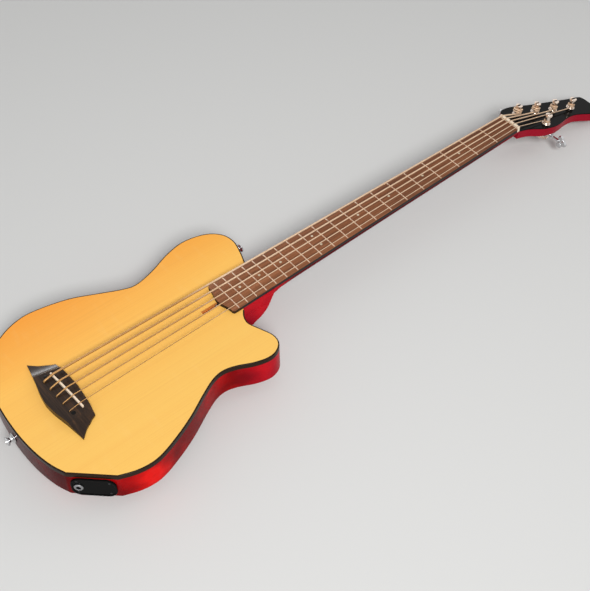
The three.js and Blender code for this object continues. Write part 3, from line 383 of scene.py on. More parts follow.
body_half_width = 164 * mm
body_length = 436.7 * mm
tail_reach = 86 * mm
body_depth = 52 * mm
top_thickness = 4 * mm
side_thickness = 7 * mm
back_thickness = 6 * mm
back_edge_radius = 5 * mm
binding_width = 2 * mm
binding_depth = 8 * mm
outline_steps = 6
bass_side_shares = [
    (-0.232, 0.966), (-0.366, 0.986), (-0.524, 1), (-0.659, 0.987), (-0.762, 0.941),
    (-0.811, 0.866), (-0.78, 0.79), (-0.689, 0.694), (-0.652, 0.621), (-0.689, 0.572),
    (-0.78, 0.504), (-0.902, 0.41), (-0.976, 0.3), (-0.979, 0.231), (-0.915, 0.158),
    (-0.78, 0.082), (-0.579, 0.034), (-0.305, 0.01), (0, 0), (0.268, 0.0034), (0.488, 0.018),
    (0.637, 0.039)]
treble_side_shares = [
    (0.927, 0.153), (0.979, 0.204), (1, 0.254), (0.985, 0.302), (0.921, 0.373), (0.833, 0.449),
    (0.72, 0.527), (0.645, 0.587), (0.628, 0.632), (0.66, 0.676), (0.728, 0.728),
    (0.764, 0.776), (0.75, 0.812), (0.69, 0.838), (0.598, 0.843), (0.482, 0.828),
    (0.357, 0.811), (0.268, 0.818), (0.204, 0.835)]


def placed(line):
    return [Vector((x * body_half_width, y * body_length - tail_reach)) for x, y in line]


nut_y = 866 * mm
scale_length = 864 * mm
nut_width = 42.1 * mm
last_fret_width = 63.6 * mm
fret_count = 20


def fret_y(number):
    return nut_y - scale_length * (1 - 2 ** (-number / 12))


def board_half_width(y):
    share = (nut_y - y) / (nut_y - fret_y(fret_count))
    return (nut_width + (last_fret_width - nut_width) * share) / 2


joint_gap = 0.3 * mm
heel_front_top = 340 * mm
heel_front_seam = 331.5 * mm
heel_run = 40 * mm
seam_height = 31.8 * mm
tenon_end = heel_front_seam - 63.5 * mm
tenon_half_width = board_half_width(heel_front_top) + binding_width / 2
pocket_half_width = tenon_half_width + joint_gap
cut_past = 3 * mm

bass_side = placed(curve_through(bass_side_shares, outline_steps))
treble_side = placed(curve_through(treble_side_shares, outline_steps))
horn_end = Vector((pocket_half_width, treble_side[-1].y + binding_width))
edge_line = [*bass_side, *treble_side, horn_end]
outer_line = moved_out(edge_line, binding_width)
outer_line[-1].x = pocket_half_width
heel_zone = [
    Vector((pocket_half_width, heel_front_seam)),
    Vector((-pocket_half_width - binding_width, heel_front_seam))]

facet_start, facet_end = outer_line[len(bass_side) - 1], outer_line[len(bass_side)]
facet_along = (facet_end - facet_start).normalized()
facet_middle = (facet_start + facet_end) / 2
facet_height = 24.5 * mm
facet_frame = Matrix((
    (facet_along.x, 0, facet_along.y, facet_middle.x),
    (facet_along.y, 0, -facet_along.x, facet_middle.y),
    (0, 1, 0, facet_height), (0, 0, 0, 1)))

rounding_steps = 6
shell_rings = []
for down, out in arc(rounding_steps, ends=0):
    ring = moved_out(outer_line, -back_edge_radius * (1 - out))
    shell_rings.append(at_height([*ring, *heel_zone], back_edge_radius * (1 - down)))
outer_ring = [*outer_line, *heel_zone]
ledge_ring = [*edge_line, *heel_zone]
ledge_height = body_depth - binding_depth
top_under = body_depth - top_thickness
shell_rings += [
    at_height(outer_ring, back_edge_radius), at_height(outer_ring, ledge_height),
    at_height(ledge_ring, ledge_height), at_height(ledge_ring, top_under)]
body = skin("red_body", shell_rings)

slot_half_width = 3.1 * mm
slot_reach = 39 * mm
slot_depth = 12 * mm
slot_start = tenon_end - slot_reach
neck_block_half_width = 46 * mm
neck_block_start = slot_start - 12.5 * mm
tail_block_half_width = 36 * mm
tail_block_length = 26 * mm
past_top = body_depth + cut_past
chamber = cut(
    raised("chamber", moved_out(outer_line, -side_thickness), back_thickness, body_depth),
    block("neck_block", (-neck_block_half_width, neck_block_start, -cut_past),
          (neck_block_half_width, body_length, past_top)),
    block("tail_block", (-tail_block_half_width, -tail_reach - cut_past, -cut_past),
          (tail_block_half_width, tail_block_length - tail_reach, past_top)))


def pocket_plan(bass_half_width, wall_end):
    """The neck's pocket. Its treble wall ends where the cutaway meets the neck."""
    start, past = tenon_end - joint_gap, pocket_half_width + cut_past
    return [
        (-bass_half_width, start), (pocket_half_width, start), (pocket_half_width, wall_end),
        (past, wall_end), (past, body_length), (-bass_half_width, body_length)]


pocket = raised(
    "pocket", pocket_plan(pocket_half_width, outer_line[-1].y), seam_height, past_top)
heel_front_shares = [
    (0, 1), (0.15, 0.69), (0.29, 0.5), (0.5, 0.31), (0.75, 0.19), (0.9, 0.07), (1, 0)]
heel_line = [
    (heel_front_seam - back * heel_run, up * seam_height)
    for back, up in curve_through(heel_front_shares, 3)]
heel_side = [
    *heel_line, (heel_front_seam - heel_run, -cut_past), (body_length, -cut_past),
    (body_length, seam_height)]
heel_cut = skin("heel_cut", [
    [(x, y, z) for y, z in heel_side]
    for x in (-pocket_half_width - binding_width, pocket_half_width + cut_past)])


def rod_slot(name):
    return block(
        name, (-slot_half_width, slot_start, body_depth - slot_depth),
        (slot_half_width, tenon_end + cut_past, past_top))


jack_hole_half_length = 27 * mm
jack_hole_half_height = 13 * mm
jack_hole_depth = 13 * mm
jack_hole = block(
    "jack_hole", (-jack_hole_half_length, -jack_hole_half_height, -jack_hole_depth),
    (jack_hole_half_length, jack_hole_half_height, cut_past))
jack_hole.data.transform(facet_frame)
body = cut(body, chamber, pocket, heel_cut, rod_slot("body_slot"), jack_hole)


def red_lacquer():
    """Deep red over mahogany, clouded in broad patches partly placed as painted highlights and shade;
    painted shade darkens the neck and the tail.
    """
    finish = Finish("translucent_red_lacquer")
    # The clouds are wood figure, shifted so that their bright patches fall where the sides face the
    # treble softbox, as painted highlights, and their dark ones between, as painted shade.
    cloud = finish.noise(14, (1, 0.8, 1), 2, 0.45, (0.44, 3.46, 2.62))
    figure = finish.noise(60, (1, 0.12, 1), 4, 0.6, (0.3, 0, 0))
    pores = finish.noise(900, (1, 0.05, 1), 2, 0.6)
    depth = finish.span(cloud + (figure - 0.5) * 0.12, 0.44, 0.66)
    colour = finish.ramp(depth, (0, (0.17, 0.001, 0.002)), (0.45, (0.34, 0.002, 0.003)),
                         (1, (0.72, 0.008, 0.006)))
    y = finish.along("Y")
    # The shaft's dark crimson is painted shade along the neck under the board; the upper bout and the
    # head are drawn towards lighter crimsons.
    upper_bout, shaft, head = (0.40, 0.006, 0.024), (0.085, 0.001, 0.005), (0.36, 0.010, 0.026)
    for start, end, share, tone in (
            (0.20, 0.26, 0.55, upper_bout), (0.34, 0.38, 0.9, shaft), (0.80, 0.88, 0.8, head)):
        colour = finish.tinted(colour, y, start, end, share, tone)
    # Painted shade: the sides of the lower bout's tail, short of its treble side, darken nearly to
    # black; the back is left as it is.
    tail = finish.span(finish.along("X"), 0.10, 0.13, 0.9, 0) * finish.span(y, 0.08, 0.16, 1, 0)
    side = finish.span(finish.upward(), -0.9, -0.4)
    colour = finish.mix(tail * side, colour, (0.045, 0.001, 0.002, 1))
    colour = finish.tinted(colour, pores, 0.55, 0.75, 0.3, (0.07, 0.001, 0.002))
    return finish.surface(
        Base_Color=colour, Roughness=finish.span(figure, 0.3, 0.7, 0.20, 0.28),
        Specular_IOR_Level=0.03)


def bare_wood(name, colour, dark):
    """Unfinished straight-grained wood."""
    finish = Finish(name)
    grain = finish.noise(700, (1, 0.03, 1), 3, 0.6)
    tone = finish.tinted((*colour, 1), grain, 0.35, 0.7, 1, dark)
    return finish.surface(
        Base_Color=tone, Roughness=0.7, Normal=finish.bump(grain, 0.05 * mm, 0.4))


def line_slot(piece, material):
    """Gives the bare walls of the rod's slot the given material: bare wood, made brighter as painted
    light.
    """
    piece.data.materials.append(material)
    slack = 0.05 * mm
    for face in piece.data.polygons:
        x, y, z = face.center
        across = abs(x) <= slot_half_width + slack
        along = slot_start - slack <= y <= tenon_end + cut_past
        within = body_depth - slot_depth - slack < z < body_depth - 0.01 * mm
        if across and along and within:
            face.material_index = len(piece.data.materials) - 1


red = red_lacquer()
# The slot's wood is a brighter orange than bare wood is, as painted light against the shade inside the
# slot.
slot_wood_with_painted_light = bare_wood("bare_slot_wood", (0.92, 0.38, 0.08), (0.66, 0.24, 0.05))
dressed(eased(body, 0.5 * mm), red, "red_lacquer", "body")
line_slot(body, slot_wood_with_painted_light)


# The top is one sheet of spruce, glued on as a lid and lacquered in amber. It is notched for
# the neck, slotted for the truss rod and drilled for the strings.
saddle_spacing = 16.1 * mm
saddle_slant = math.radians(3.2)
hole_row = 16.5 * mm
hole_gap = 0.45 * mm
string_diameters = [3.3 * mm, 2.67 * mm, 2.16 * mm, 1.65 * mm, 1.14 * mm]
middle_string = (len(string_diameters) - 1) / 2


def saddle_x(i):
    return (i - middle_string) * saddle_spacing


def turned(name, profile, sides, place=None):
    """A closed turned piece on Z, from radius and height pairs that start and end on the axis."""
    points = [(0, 0, profile[0][1]), (0, 0, profile[-1][1])]
    inner = profile[1:-1]
    for radius, height in inner:
        points += [(radius * x, radius * y, height) for x, y in arc(sides, math.tau, 0)]
    faces = []
    for side in range(sides):
        after = (side + 1) % sides
        faces.append((0, 2 + after, 2 + side))
        last = 2 + (len(inner) - 1) * sides
        faces.append((1, last + side, last + after))
        for ring in range(len(inner) - 1):
            low, high = 2 + ring * sides, 2 + (ring + 1) * sides
            faces.append((low + side, low + after, high + after, high + side))
    piece = shaped(name, points, faces)
    if place is not None:
        piece.data.transform(place)
    return piece


def peg(name, radius, low, high, sides, spot):
    profile = [(0, low), (radius, low), (radius, high), (0, high)]
    return turned(name, profile, sides, Matrix.Translation(spot))


def string_holes(low, high):
    return [
        peg(f"hole_{i}", d / 2 + hole_gap, low, high, 16, (saddle_x(i), -hole_row, 0))
        for i, d in enumerate(string_diameters)]


top = raised("amber_top", ledge_ring, top_under, body_depth)
top_notch = raised(
    "top_notch", pocket_plan(pocket_half_width + joint_gap, horn_end.y), top_under - cut_past,
    past_top)
top = cut(top, top_notch, rod_slot("top_slot"), *string_holes(top_under - cut_past, past_top))


def amber_spruce():
    """Amber lacquer over spruce: fine growth lines, faint cross silk, and painted light from deep
    honey on the bass side to pale gold on the treble side.
    """
    finish = Finish("amber_lacquered_spruce")
    wander = finish.noise(3.5, (1, 0.4, 1), 2, 0.5)
    lines = finish.noise(520, (1, 0.006, 1), 2, 0.55)
    broad = finish.noise(70, (1, 0.02, 1), 2, 0.5, (0.2, 0, 0))
    silk = finish.noise(90, (0.25, 1, 1), 2, 0.5, (0, 0.4, 0))
    # Painted light: the top runs from deep honey on the bass side to pale gold on the treble side, as
    # if lit from the treble side.
    painted_light_across = finish.span(finish.along("X") + wander * 0.14, -0.11, 0.13)
    tone = finish.ramp(
        painted_light_across, (0, (0.97, 0.355, 0.033)), (0.5, (1, 0.55, 0.115)), (1, (0.95, 0.56, 0.13)))
    for value, low, high, share, colour in (
            (broad, 0.4, 0.75, 0.12, (0.86, 0.37, 0.07)), (lines, 0.5, 0.8, 0.22, (0.76, 0.32, 0.06)),
            (silk, 0.6, 0.8, 0.12, (1, 0.66, 0.24))):
        tone = finish.tinted(tone, value, low, high, share, colour)
    return finish.surface(
        Base_Color=tone, Roughness=finish.span(lines, 0.3, 0.8, 0.32, 0.38),
        Normal=finish.bump(lines, 0.02 * mm, 0.3), Specular_IOR_Level=0.18)


dressed(eased(top, 0), amber_spruce(), "amber_top", "top")
line_slot(top, slot_wood_with_painted_light)


# The binding is a black strip glued into the rabbet round the face, scraped flush and
# rounded over at its outer corner.
binding_round = 1.2 * mm
round_steps = 4
strip = []
for inner, outer in list(zip(edge_line, outer_line))[:-1]:
    out = (outer - inner).normalized()
    ring = [(*inner, ledge_height), (*outer, ledge_height)]
    for level_share, rise_share in arc(round_steps):
        shift = out * binding_round * (1 - level_share)
        ring.append((*(outer - shift), body_depth - binding_round * (1 - rise_share)))
    ring.append((*inner, body_depth))
    strip.append(ring)
binding = skin("black_binding", strip)


def dark_plastic(name, roughness, colour=(0.006, 0.006, 0.006)):
    finish = Finish(name)
    smears = finish.noise(40, (1, 1, 1), 3, 0.6)
    tone = finish.tinted((*colour, 1), smears, 0.3, 0.7, 0.3, (0.012, 0.010, 0.009))
    return finish.surface(
        Base_Color=tone, Roughness=finish.span(smears, 0.3, 0.7, roughness, roughness + 0.08),
        Normal=finish.bump(smears, 0.05 * mm, 0.15), Specular_IOR_Level=0.08)


binding_black = dark_plastic("brown_black_binding", 0.22, (0.022, 0.011, 0.005))
dressed(eased(binding, 0), binding_black, "binding_black", "binding")


# Under the top are two crossed spruce braces and a maple plate that takes the strings' pull.
# They and the electronics inside are only seen with the top off.
def recoloured(node, material):
    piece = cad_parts[node]
    for slot in piece.material_slots:
        slot.material = material


recoloured("top_braces", bare_wood("bare_spruce", (0.72, 0.50, 0.26), (0.55, 0.34, 0.16)))
recoloured("bridge_plate", bare_wood("bare_maple", (0.66, 0.44, 0.24), (0.52, 0.32, 0.16)))


# The bridge is carved from one block of dark rosewood. Its wings are scooped down to thin
# tips with concave ends, and two bolts under dark plugs help the glue.
bridge_half_width = 78.8 * mm
bridge_front = 16.5 * mm
bridge_back = 34 * mm
bridge_height = 10.3 * mm
bridge_turn = Matrix.Rotation(math.radians(-2), 4, "Z")
scoop_slant = math.radians(11)
bridge_top = body_depth + bridge_height
saddle_length = 77 * mm
saddle_thickness = 2.6 * mm
saddle_floor = bridge_top - 6 * mm
saddle_fit = 0.15 * mm
bridge_shares = [
    (0, 1), (0.35, 0.89), (0.68, 0.72), (0.73, 0.26), (0.82, -0.19), (0.99, -0.61),
    (0.8, -0.68), (0.52, -0.8), (0.24, -0.94), (0, -1)]
scoop_shares = [
    (0.54, 1.02), (0.57, 0.8), (0.63, 0.58), (0.72, 0.42), (0.84, 0.32), (1.05, 0.25)]


def bridge_outline():
    front = curve_through(bridge_shares[:3], 6)
    end = curve_through(bridge_shares[2:6], 6)
    back = curve_through(bridge_shares[5:], 6)
    half = [Vector((x * bridge_half_width, y * (bridge_front if y > 0 else bridge_back)))
            for x, y in [*front, *end[1:], *back[1:]]]
    other = [Vector((-point.x, point.y)) for point in reversed(half[1:-1])]
    return [*half, *other]


scoop_line = [
    (x * bridge_half_width, body_depth + z * bridge_height)
    for x, z in curve_through(scoop_shares, 5)]
scoop_side = [
    *scoop_line, (scoop_line[-1][0], bridge_top + cut_past),
    (scoop_line[0][0], bridge_top + cut_past)]


def scoop(name, side):
    reach = bridge_back + bridge_front
    cutter = skin(name, [[(side * x, y, z) for x, z in scoop_side] for y in (-reach, reach)])
    cutter.data.transform(bridge_turn @ Matrix.Rotation(side * scoop_slant, 4, "Z"))
    return cutter


saddle_slot = block(
    "saddle_slot", (-saddle_length / 2 - saddle_fit, -saddle_thickness / 2 - saddle_fit, saddle_floor),
    (saddle_length / 2 + saddle_fit, saddle_thickness / 2 + saddle_fit, bridge_top + cut_past))
saddle_slot.data.transform(Matrix.Rotation(saddle_slant, 4, "Z"))
bridge = raised("carved_bridge", bridge_outline(), body_depth, bridge_top)
bridge.data.transform(bridge_turn)
bridge = cut(bridge, scoop("bass_scoop", -1), scoop("treble_scoop", 1), saddle_slot,
             *string_holes(body_depth - cut_past, bridge_top + cut_past))


def dark_rosewood():
    """Oiled rosewood, nearly black, with brown streaks along the bridge."""
    finish = Finish("oiled_dark_rosewood")
    streaks = finish.noise(260, (0.05, 1, 0.6), 4, 0.6)
    pores = finish.noise(1500, (0.04, 1, 1), 2, 0.6, (0.5, 0, 0))
    tone = finish.ramp(
        finish.span(streaks, 0.3, 0.7), (0, (0.014, 0.007, 0.004)), (0.6, (0.030, 0.016, 0.009)),
        (1, (0.062, 0.030, 0.014)))
    tone = finish.tinted(tone, pores, 0.55, 0.7, 0.6, (0.006, 0.004, 0.003))
    return finish.surface(
        Base_Color=tone, Roughness=finish.span(pores, 0.4, 0.7, 0.27, 0.36),
        Normal=finish.bump(pores, 0.01 * mm, 0.08), Specular_IOR_Level=0.18)


dressed(eased(bridge, 0.45 * mm), dark_rosewood(), "bridge_rosewood", "bridge")


class Growth(Graph):
    """A tree that grows a piece from named inputs. What repeats is set on points."""

    def __init__(self, name, inputs):
        super().__init__(bpy.data.node_groups.new(name, "GeometryNodeTree"))
        ports = self.tree.interface
        ports.new_socket(name="Geometry", in_out="OUTPUT", socket_type="NodeSocketGeometry")
        inputs = {"Geometry": ("Geometry", None), **inputs, "Finish": ("Material", None)}
        for label, (kind, value) in inputs.items():
            socket = ports.new_socket(name=label, in_out="INPUT", socket_type=f"NodeSocket{kind}")
            if value is not None:
                socket.default_value = value
        start = self.tree.nodes.new("NodeGroupInput")
        self.ends = {socket.name: Wire(self, socket) for socket in start.outputs if socket.name}

    def shape(self, name):
        return self.node("GeometryNodeObjectInfo", {"Object": self.ends[name]}, "Geometry")

    def vector(self, **parts):
        return self.node("ShaderNodeCombineXYZ", parts)

    def copies(self, points, shape, **sockets):
        laid = self.node("GeometryNodeInstanceOnPoints", {
            "Points": points, "Instance": shape, **sockets})
        return self.node("GeometryNodeRealizeInstances", {"Geometry": laid})

    def tube(self, line, radius):
        ring = self.node("GeometryNodeCurvePrimitiveCircle", {"Resolution": 14, "Radius": radius})
        return self.node("GeometryNodeCurveToMesh", {
            "Curve": line, "Profile Curve": ring, "Fill Caps": True})

    def finished(self, geometry):
        done = self.node("GeometryNodeSetMaterial", {
            "Geometry": geometry, "Material": self.ends["Finish"]})
        self.node("NodeGroupOutput", {"Geometry": done})
        return self

    def grow(self, piece, values):
        """Runs the tree on a piece with its inputs set, and keeps the plain mesh."""
        step = piece.modifiers.new("grown", "NODES")
        step.node_group = self.tree
        for item in self.tree.interface.items_tree:
            if item.in_out == "INPUT" and item.name in values:
                step[item.identifier] = values[item.name]
        return settled(piece)


shape_row = Growth("shape_on_points", {"Shape": ("Object", None)})
shape_row.finished(shape_row.copies(shape_row.ends["Geometry"], shape_row.shape("Shape")))


def row_of(name, shape, points, material, turn=None):
    """Copies of a shape at the given points, turned as one into their place."""
    row = meshed(name, points)
    shape_row.grow(row, {"Shape": shape, "Finish": material})
    bpy.data.objects.remove(shape)
    if turn is not None:
        row.data.transform(turn)
    row.data.set_sharp_from_angle(angle=math.radians(35))
    return row


plug_radius = 3.2 * mm
plug_height = 0.35 * mm
plug_spread = 38 * mm
plug_row = -11.5 * mm
plug_foot = -0.5 * mm
plug_places = [
    bridge_turn @ Vector((side * plug_spread, plug_row, bridge_top)) for side in (-1, 1)]
plug = turned("plug", [
    (0, plug_foot), (plug_radius, plug_foot), (plug_radius, plug_height * 0.6),
    (plug_radius * 0.9, plug_height), (0, plug_height)], 28)
plug.data.shade_smooth()
plug_black = dark_plastic("ebony_plugs", 0.35)
bolt_plugs = row_of("bridge_bolt_plugs", plug, plug_places, plug_black)
dressed(bolt_plugs, plug_black, "bridge_rosewood")


# The saddle is a bar of ivory-coloured bone, filed to a ridge under each string. The strip
# pickup lies in the slot below it.
def polished_bone():
    finish = Finish("polished_bone")
    veins = finish.noise(220, (0.2, 1, 1), 3, 0.55)
    return finish.surface(
        Base_Color=finish.ramp(finish.span(veins, 0.3, 0.7), (0, (0.82, 0.64, 0.47)),
                               (1, (0.92, 0.77, 0.60))),
        Roughness=finish.span(veins, 0.3, 0.7, 0.28, 0.38), Subsurface_Weight=0.08,
        Subsurface_Radius=(0.004, 0.002, 0.001), Coat_Weight=0.2)


def plain_steel():
    finish = Finish("plain_steel")
    brushing = finish.noise(400, (1, 0.05, 1), 3, 0.6)
    return finish.surface(
        Base_Color=(0.42, 0.43, 0.44, 1), Metallic=1,
        Roughness=finish.span(brushing, 0.3, 0.7, 0.28, 0.45))


def copied(node, name):
    """A merged copy of a CAD node, to be eased and dressed."""
    piece = in_scene(name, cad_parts[node].data.copy())
    piece.data.name = name
    with mesh_work(piece) as work:
        bmesh.ops.remove_doubles(work, verts=work.verts, dist=0.002 * mm)
        bmesh.ops.dissolve_degenerate(work, edges=work.edges, dist=0.002 * mm)
    return piece


bone = polished_bone()
steel = plain_steel()
saddle = eased(copied("saddle", "bone_saddle"), 0.3 * mm)
dressed(saddle, bone, "saddle_bone", "saddle")
recoloured("saddle_pickup", steel)


# The neck, its heel and the tilted head are carved from one piece and lacquered as the body
# is. The heel's tenon fills the body's pocket; its seam shows as a thin line.
neck_depth_nut = 14 * mm
neck_depth_heel = 17.5 * mm
nut_length = 5 * mm
head_tilt = math.radians(15)
head_length = 208 * mm
head_half_width = 41.4 * mm
head_wood = 13.9 * mm
veneer = 1.5 * mm
glue_gap = 0.1 * mm
head_top = -veneer - glue_gap
head_back = head_top - head_wood
head_frame = Matrix.Translation((0, nut_y + nut_length + joint_gap, body_depth)) @ Matrix.Rotation(
    -head_tilt, 4, "X")
head_shares = [
    (0.52, 0.05), (0.59, 0.13), (0.82, 0.245), (0.88, 0.327), (0.885, 0.394), (0.81, 0.48),
    (0.69, 0.572), (0.635, 0.67), (0.69, 0.748), (0.86, 0.85), (0.97, 0.923), (0.93, 0.962),
    (0.72, 0.985), (0.12, 1), (-0.2, 0.995), (-0.31, 0.962), (-0.37, 0.865), (-0.47, 0.745),
    (-0.6, 0.603), (-0.76, 0.428), (-0.88, 0.332), (-0.985, 0.231), (-1, 0.144),
    (-0.92, 0.087), (-0.66, 0.034)]
head_outline = [
    Vector((nut_width / 2, 0)),
    *[Vector((x * head_half_width, y * head_length)) for x, y in curve_through(head_shares, 4)],
    Vector((-nut_width / 2, 0))]
first_post = (-19.5 * mm, 38 * mm)
post_step = (8.5 * mm, 39.5 * mm)
treble_post = (24 * mm, 67.5 * mm)
post_places = [
    *[(first_post[0] + i * post_step[0], first_post[1] + i * post_step[1], -1) for i in range(4)],
    (*treble_post, 1)]
post_radius = 4 * mm
post_hole_gap = 0.5 * mm


def joined(piece, *others):
    return combined(piece, others, "UNION")


def post_holes():
    return [
        peg(f"post_hole_{i}", post_radius + post_hole_gap, head_back - cut_past, cut_past, 24,
            (x, y, 0))
        for i, (x, y, side) in enumerate(post_places)]


neck_stations = [
    (nut_y + nut_length, neck_depth_nut, 2.2), (nut_y, neck_depth_nut, 2.2),
    (fret_y(7), (neck_depth_nut + neck_depth_heel) / 2, 2.2),
    (heel_front_top + body_depth, neck_depth_heel, 2.3),
    (heel_front_top + 30 * mm, neck_depth_heel + 0.2 * mm, 2.4),
    (heel_front_top + 13 * mm, neck_depth_heel + 0.5 * mm, 2.6),
    (heel_front_top, neck_depth_heel + 1 * mm, 4),
    (heel_front_seam, body_depth - seam_height - joint_gap, 8),
    ((tenon_end + heel_front_seam) / 2, body_depth - seam_height - joint_gap, 8)]
neck_sides = 40
neck_rings = []
for station_y, depth, squareness in neck_stations:
    reach = min(board_half_width(min(station_y, nut_y)), tenon_half_width)
    ring = []
    for across, down in arc(neck_sides, math.pi):
        x = reach * math.copysign(abs(across) ** (2 / squareness), across)
        ring.append((x, station_y, body_depth - depth * down ** (2 / squareness)))
    neck_rings.append(ring)
neck = skin("red_neck", neck_rings)
tenon_floor = seam_height + joint_gap
heel_profile = [
    (tenon_end, tenon_floor), (heel_front_seam, tenon_floor),
    ((heel_front_seam + heel_front_top * 2) / 3, (tenon_floor + body_depth) / 2),
    (heel_front_top, body_depth), (tenon_end, body_depth)]
heel = skin("heel", [
    [(x, y, z) for y, z in heel_profile] for x in (-tenon_half_width, tenon_half_width)])
head_blank = raised("head_blank", head_outline, head_back, head_top)
head_blank = cut(head_blank, *post_holes())
eased(head_blank, 1.0 * mm, 3)
head_blank.data.transform(head_frame)
rod_half_width = 3 * mm
rod_depth = 9 * mm
rod_gap = 0.2 * mm
rod_channel = block(
    "rod_channel", (-rod_half_width - rod_gap, tenon_end - cut_past, body_depth - rod_depth - rod_gap),
    (rod_half_width + rod_gap, nut_y - nut_length, body_depth + cut_past))
neck = cut(joined(neck, heel, head_blank), rod_channel)
dressed(eased(neck, 0), red, "red_lacquer", "neck")


# The truss rod lies under the board. Its socket nut sits at the end of the slot in the top,
# where a hex wrench reaches it.
recoloured("truss_rod", steel)
truss_nut = eased(copied("truss_nut", "truss_socket_nut"), 0.2 * mm)
dressed(truss_nut, steel, "hidden_steel", "truss_nut", body="truss_nut")


# The fingerboard is rosewood, crowned across its width, with a wave at its end. Small pearl
# dots mark the frets, two of them at the octave.
board_thickness = 6.96 * mm
board_radius = 400 * mm
board_crown = body_depth + board_thickness
board_corner = 4 * mm
board_bulge = 6 * mm
board_overhang = 11.1 * mm
board_edge_y = fret_y(fret_count) - board_overhang
board_tip_y = board_edge_y - board_bulge


def board_surface(x):
    return board_crown - board_radius + math.sqrt(board_radius**2 - x**2)


board_tip = board_half_width(board_edge_y)
board_flat = board_tip - board_corner
corner_steps = 5
wave_steps = 24
treble_corner = [
    Vector((board_flat + board_corner * x, board_edge_y + board_corner * (1 - y)))
    for x, y in arc(corner_steps)]
wave = []
for step in range(1, wave_steps):
    x = board_flat - 2 * board_flat * step / wave_steps
    wave.append(Vector((x, board_edge_y - board_bulge * math.cos(math.pi * x / 2 / board_flat) ** 2)))
bass_corner = [Vector((-point.x, point.y)) for point in reversed(treble_corner)]
board_plan = [
    Vector((-nut_width / 2, nut_y)), Vector((nut_width / 2, nut_y)), *treble_corner, *wave,
    *bass_corner]
board = raised("rosewood_board", board_plan, body_depth, board_crown + cut_past)
crown_steps = 24
crown_line = []
for step in range(crown_steps + 1):
    x = (board_tip + cut_past) * (1 - 2 * step / crown_steps)
    crown_line.append((x, board_surface(x)))
lid = [(-board_tip - cut_past, board_crown + 2 * cut_past),
       (board_tip + cut_past, board_crown + 2 * cut_past)]
crown_cut = skin("crown_cut", [
    [(x, y, z) for x, z in [*lid, *crown_line]]
    for y in (board_tip_y - cut_past, nut_y + cut_past)])
board = cut(board, crown_cut)


def board_rosewood():
    """Satin rosewood, darker towards the nut, its side faces painted nearly black as shade."""
    finish = Finish("satin_rosewood")
    streaks = finish.noise(240, (1, 0.03, 1), 4, 0.6)
    pores = finish.noise(1600, (1, 0.02, 1), 2, 0.6, (0.4, 0, 0))
    patches = finish.noise(18, (1, 0.5, 1), 2, 0.5)
    tone = finish.ramp(
        finish.span(streaks * 0.7 + patches * 0.3, 0.3, 0.7), (0, (0.13, 0.045, 0.018)),
        (0.5, (0.25, 0.090, 0.034)), (1, (0.38, 0.150, 0.065)))
    tone = finish.tinted(tone, finish.along("Y"), 0.35, 0.85, 0.5, (0.10, 0.035, 0.016))
    tone = finish.tinted(tone, pores, 0.55, 0.7, 0.6, (0.045, 0.016, 0.008))
    # Painted shade: faces that do not look up, the board's sides, are made nearly black.
    tone = finish.mix(finish.span(finish.upward(), 0.2, 0.5), (0.010, 0.004, 0.003, 1), tone)
    return finish.surface(
        Base_Color=tone, Roughness=finish.span(pores, 0.4, 0.7, 0.46, 0.62),
        Normal=finish.bump(pores, 0.05 * mm, 0.25), Specular_IOR_Level=0.3)


dressed(eased(board, 0.35 * mm), board_rosewood(), "board_rosewood", "fretboard")

dot_radius = 2 * mm
dot_rise = 0.08 * mm
octave_spread = 11 * mm
octave = 12
dot_frets = [3, 5, 7, 9, 15, 17, 19]
dot_places = [(0, (fret_y(n) + fret_y(n - 1)) / 2) for n in dot_frets]
dot_places += [
    (side * octave_spread, (fret_y(octave) + fret_y(octave - 1)) / 2) for side in (-1, 1)]
dot = turned("dot", [
    (0, -1 * mm), (dot_radius, -1 * mm), (dot_radius, 0), (dot_radius * 0.96, dot_rise),
    (0, dot_rise)], 32)
dot.data.shade_smooth()


def pearl():
    finish = Finish("mother_of_pearl")
    layers = finish.noise(160, (1, 1, 1), 3, 0.6)
    return finish.surface(
        Base_Color=finish.ramp(finish.span(layers, 0.3, 0.7), (0, (0.50, 0.40, 0.26)),
                               (0.5, (0.60, 0.50, 0.35)), (1, (0.68, 0.57, 0.44))),
        Roughness=0.25, Coat_Weight=0.2)


pearl_finish = pearl()
dots = row_of("pearl_dots", dot, [(x, y, board_surface(x)) for x, y in dot_places], pearl_finish)
dressed(dots, pearl_finish, "saddle_bone")


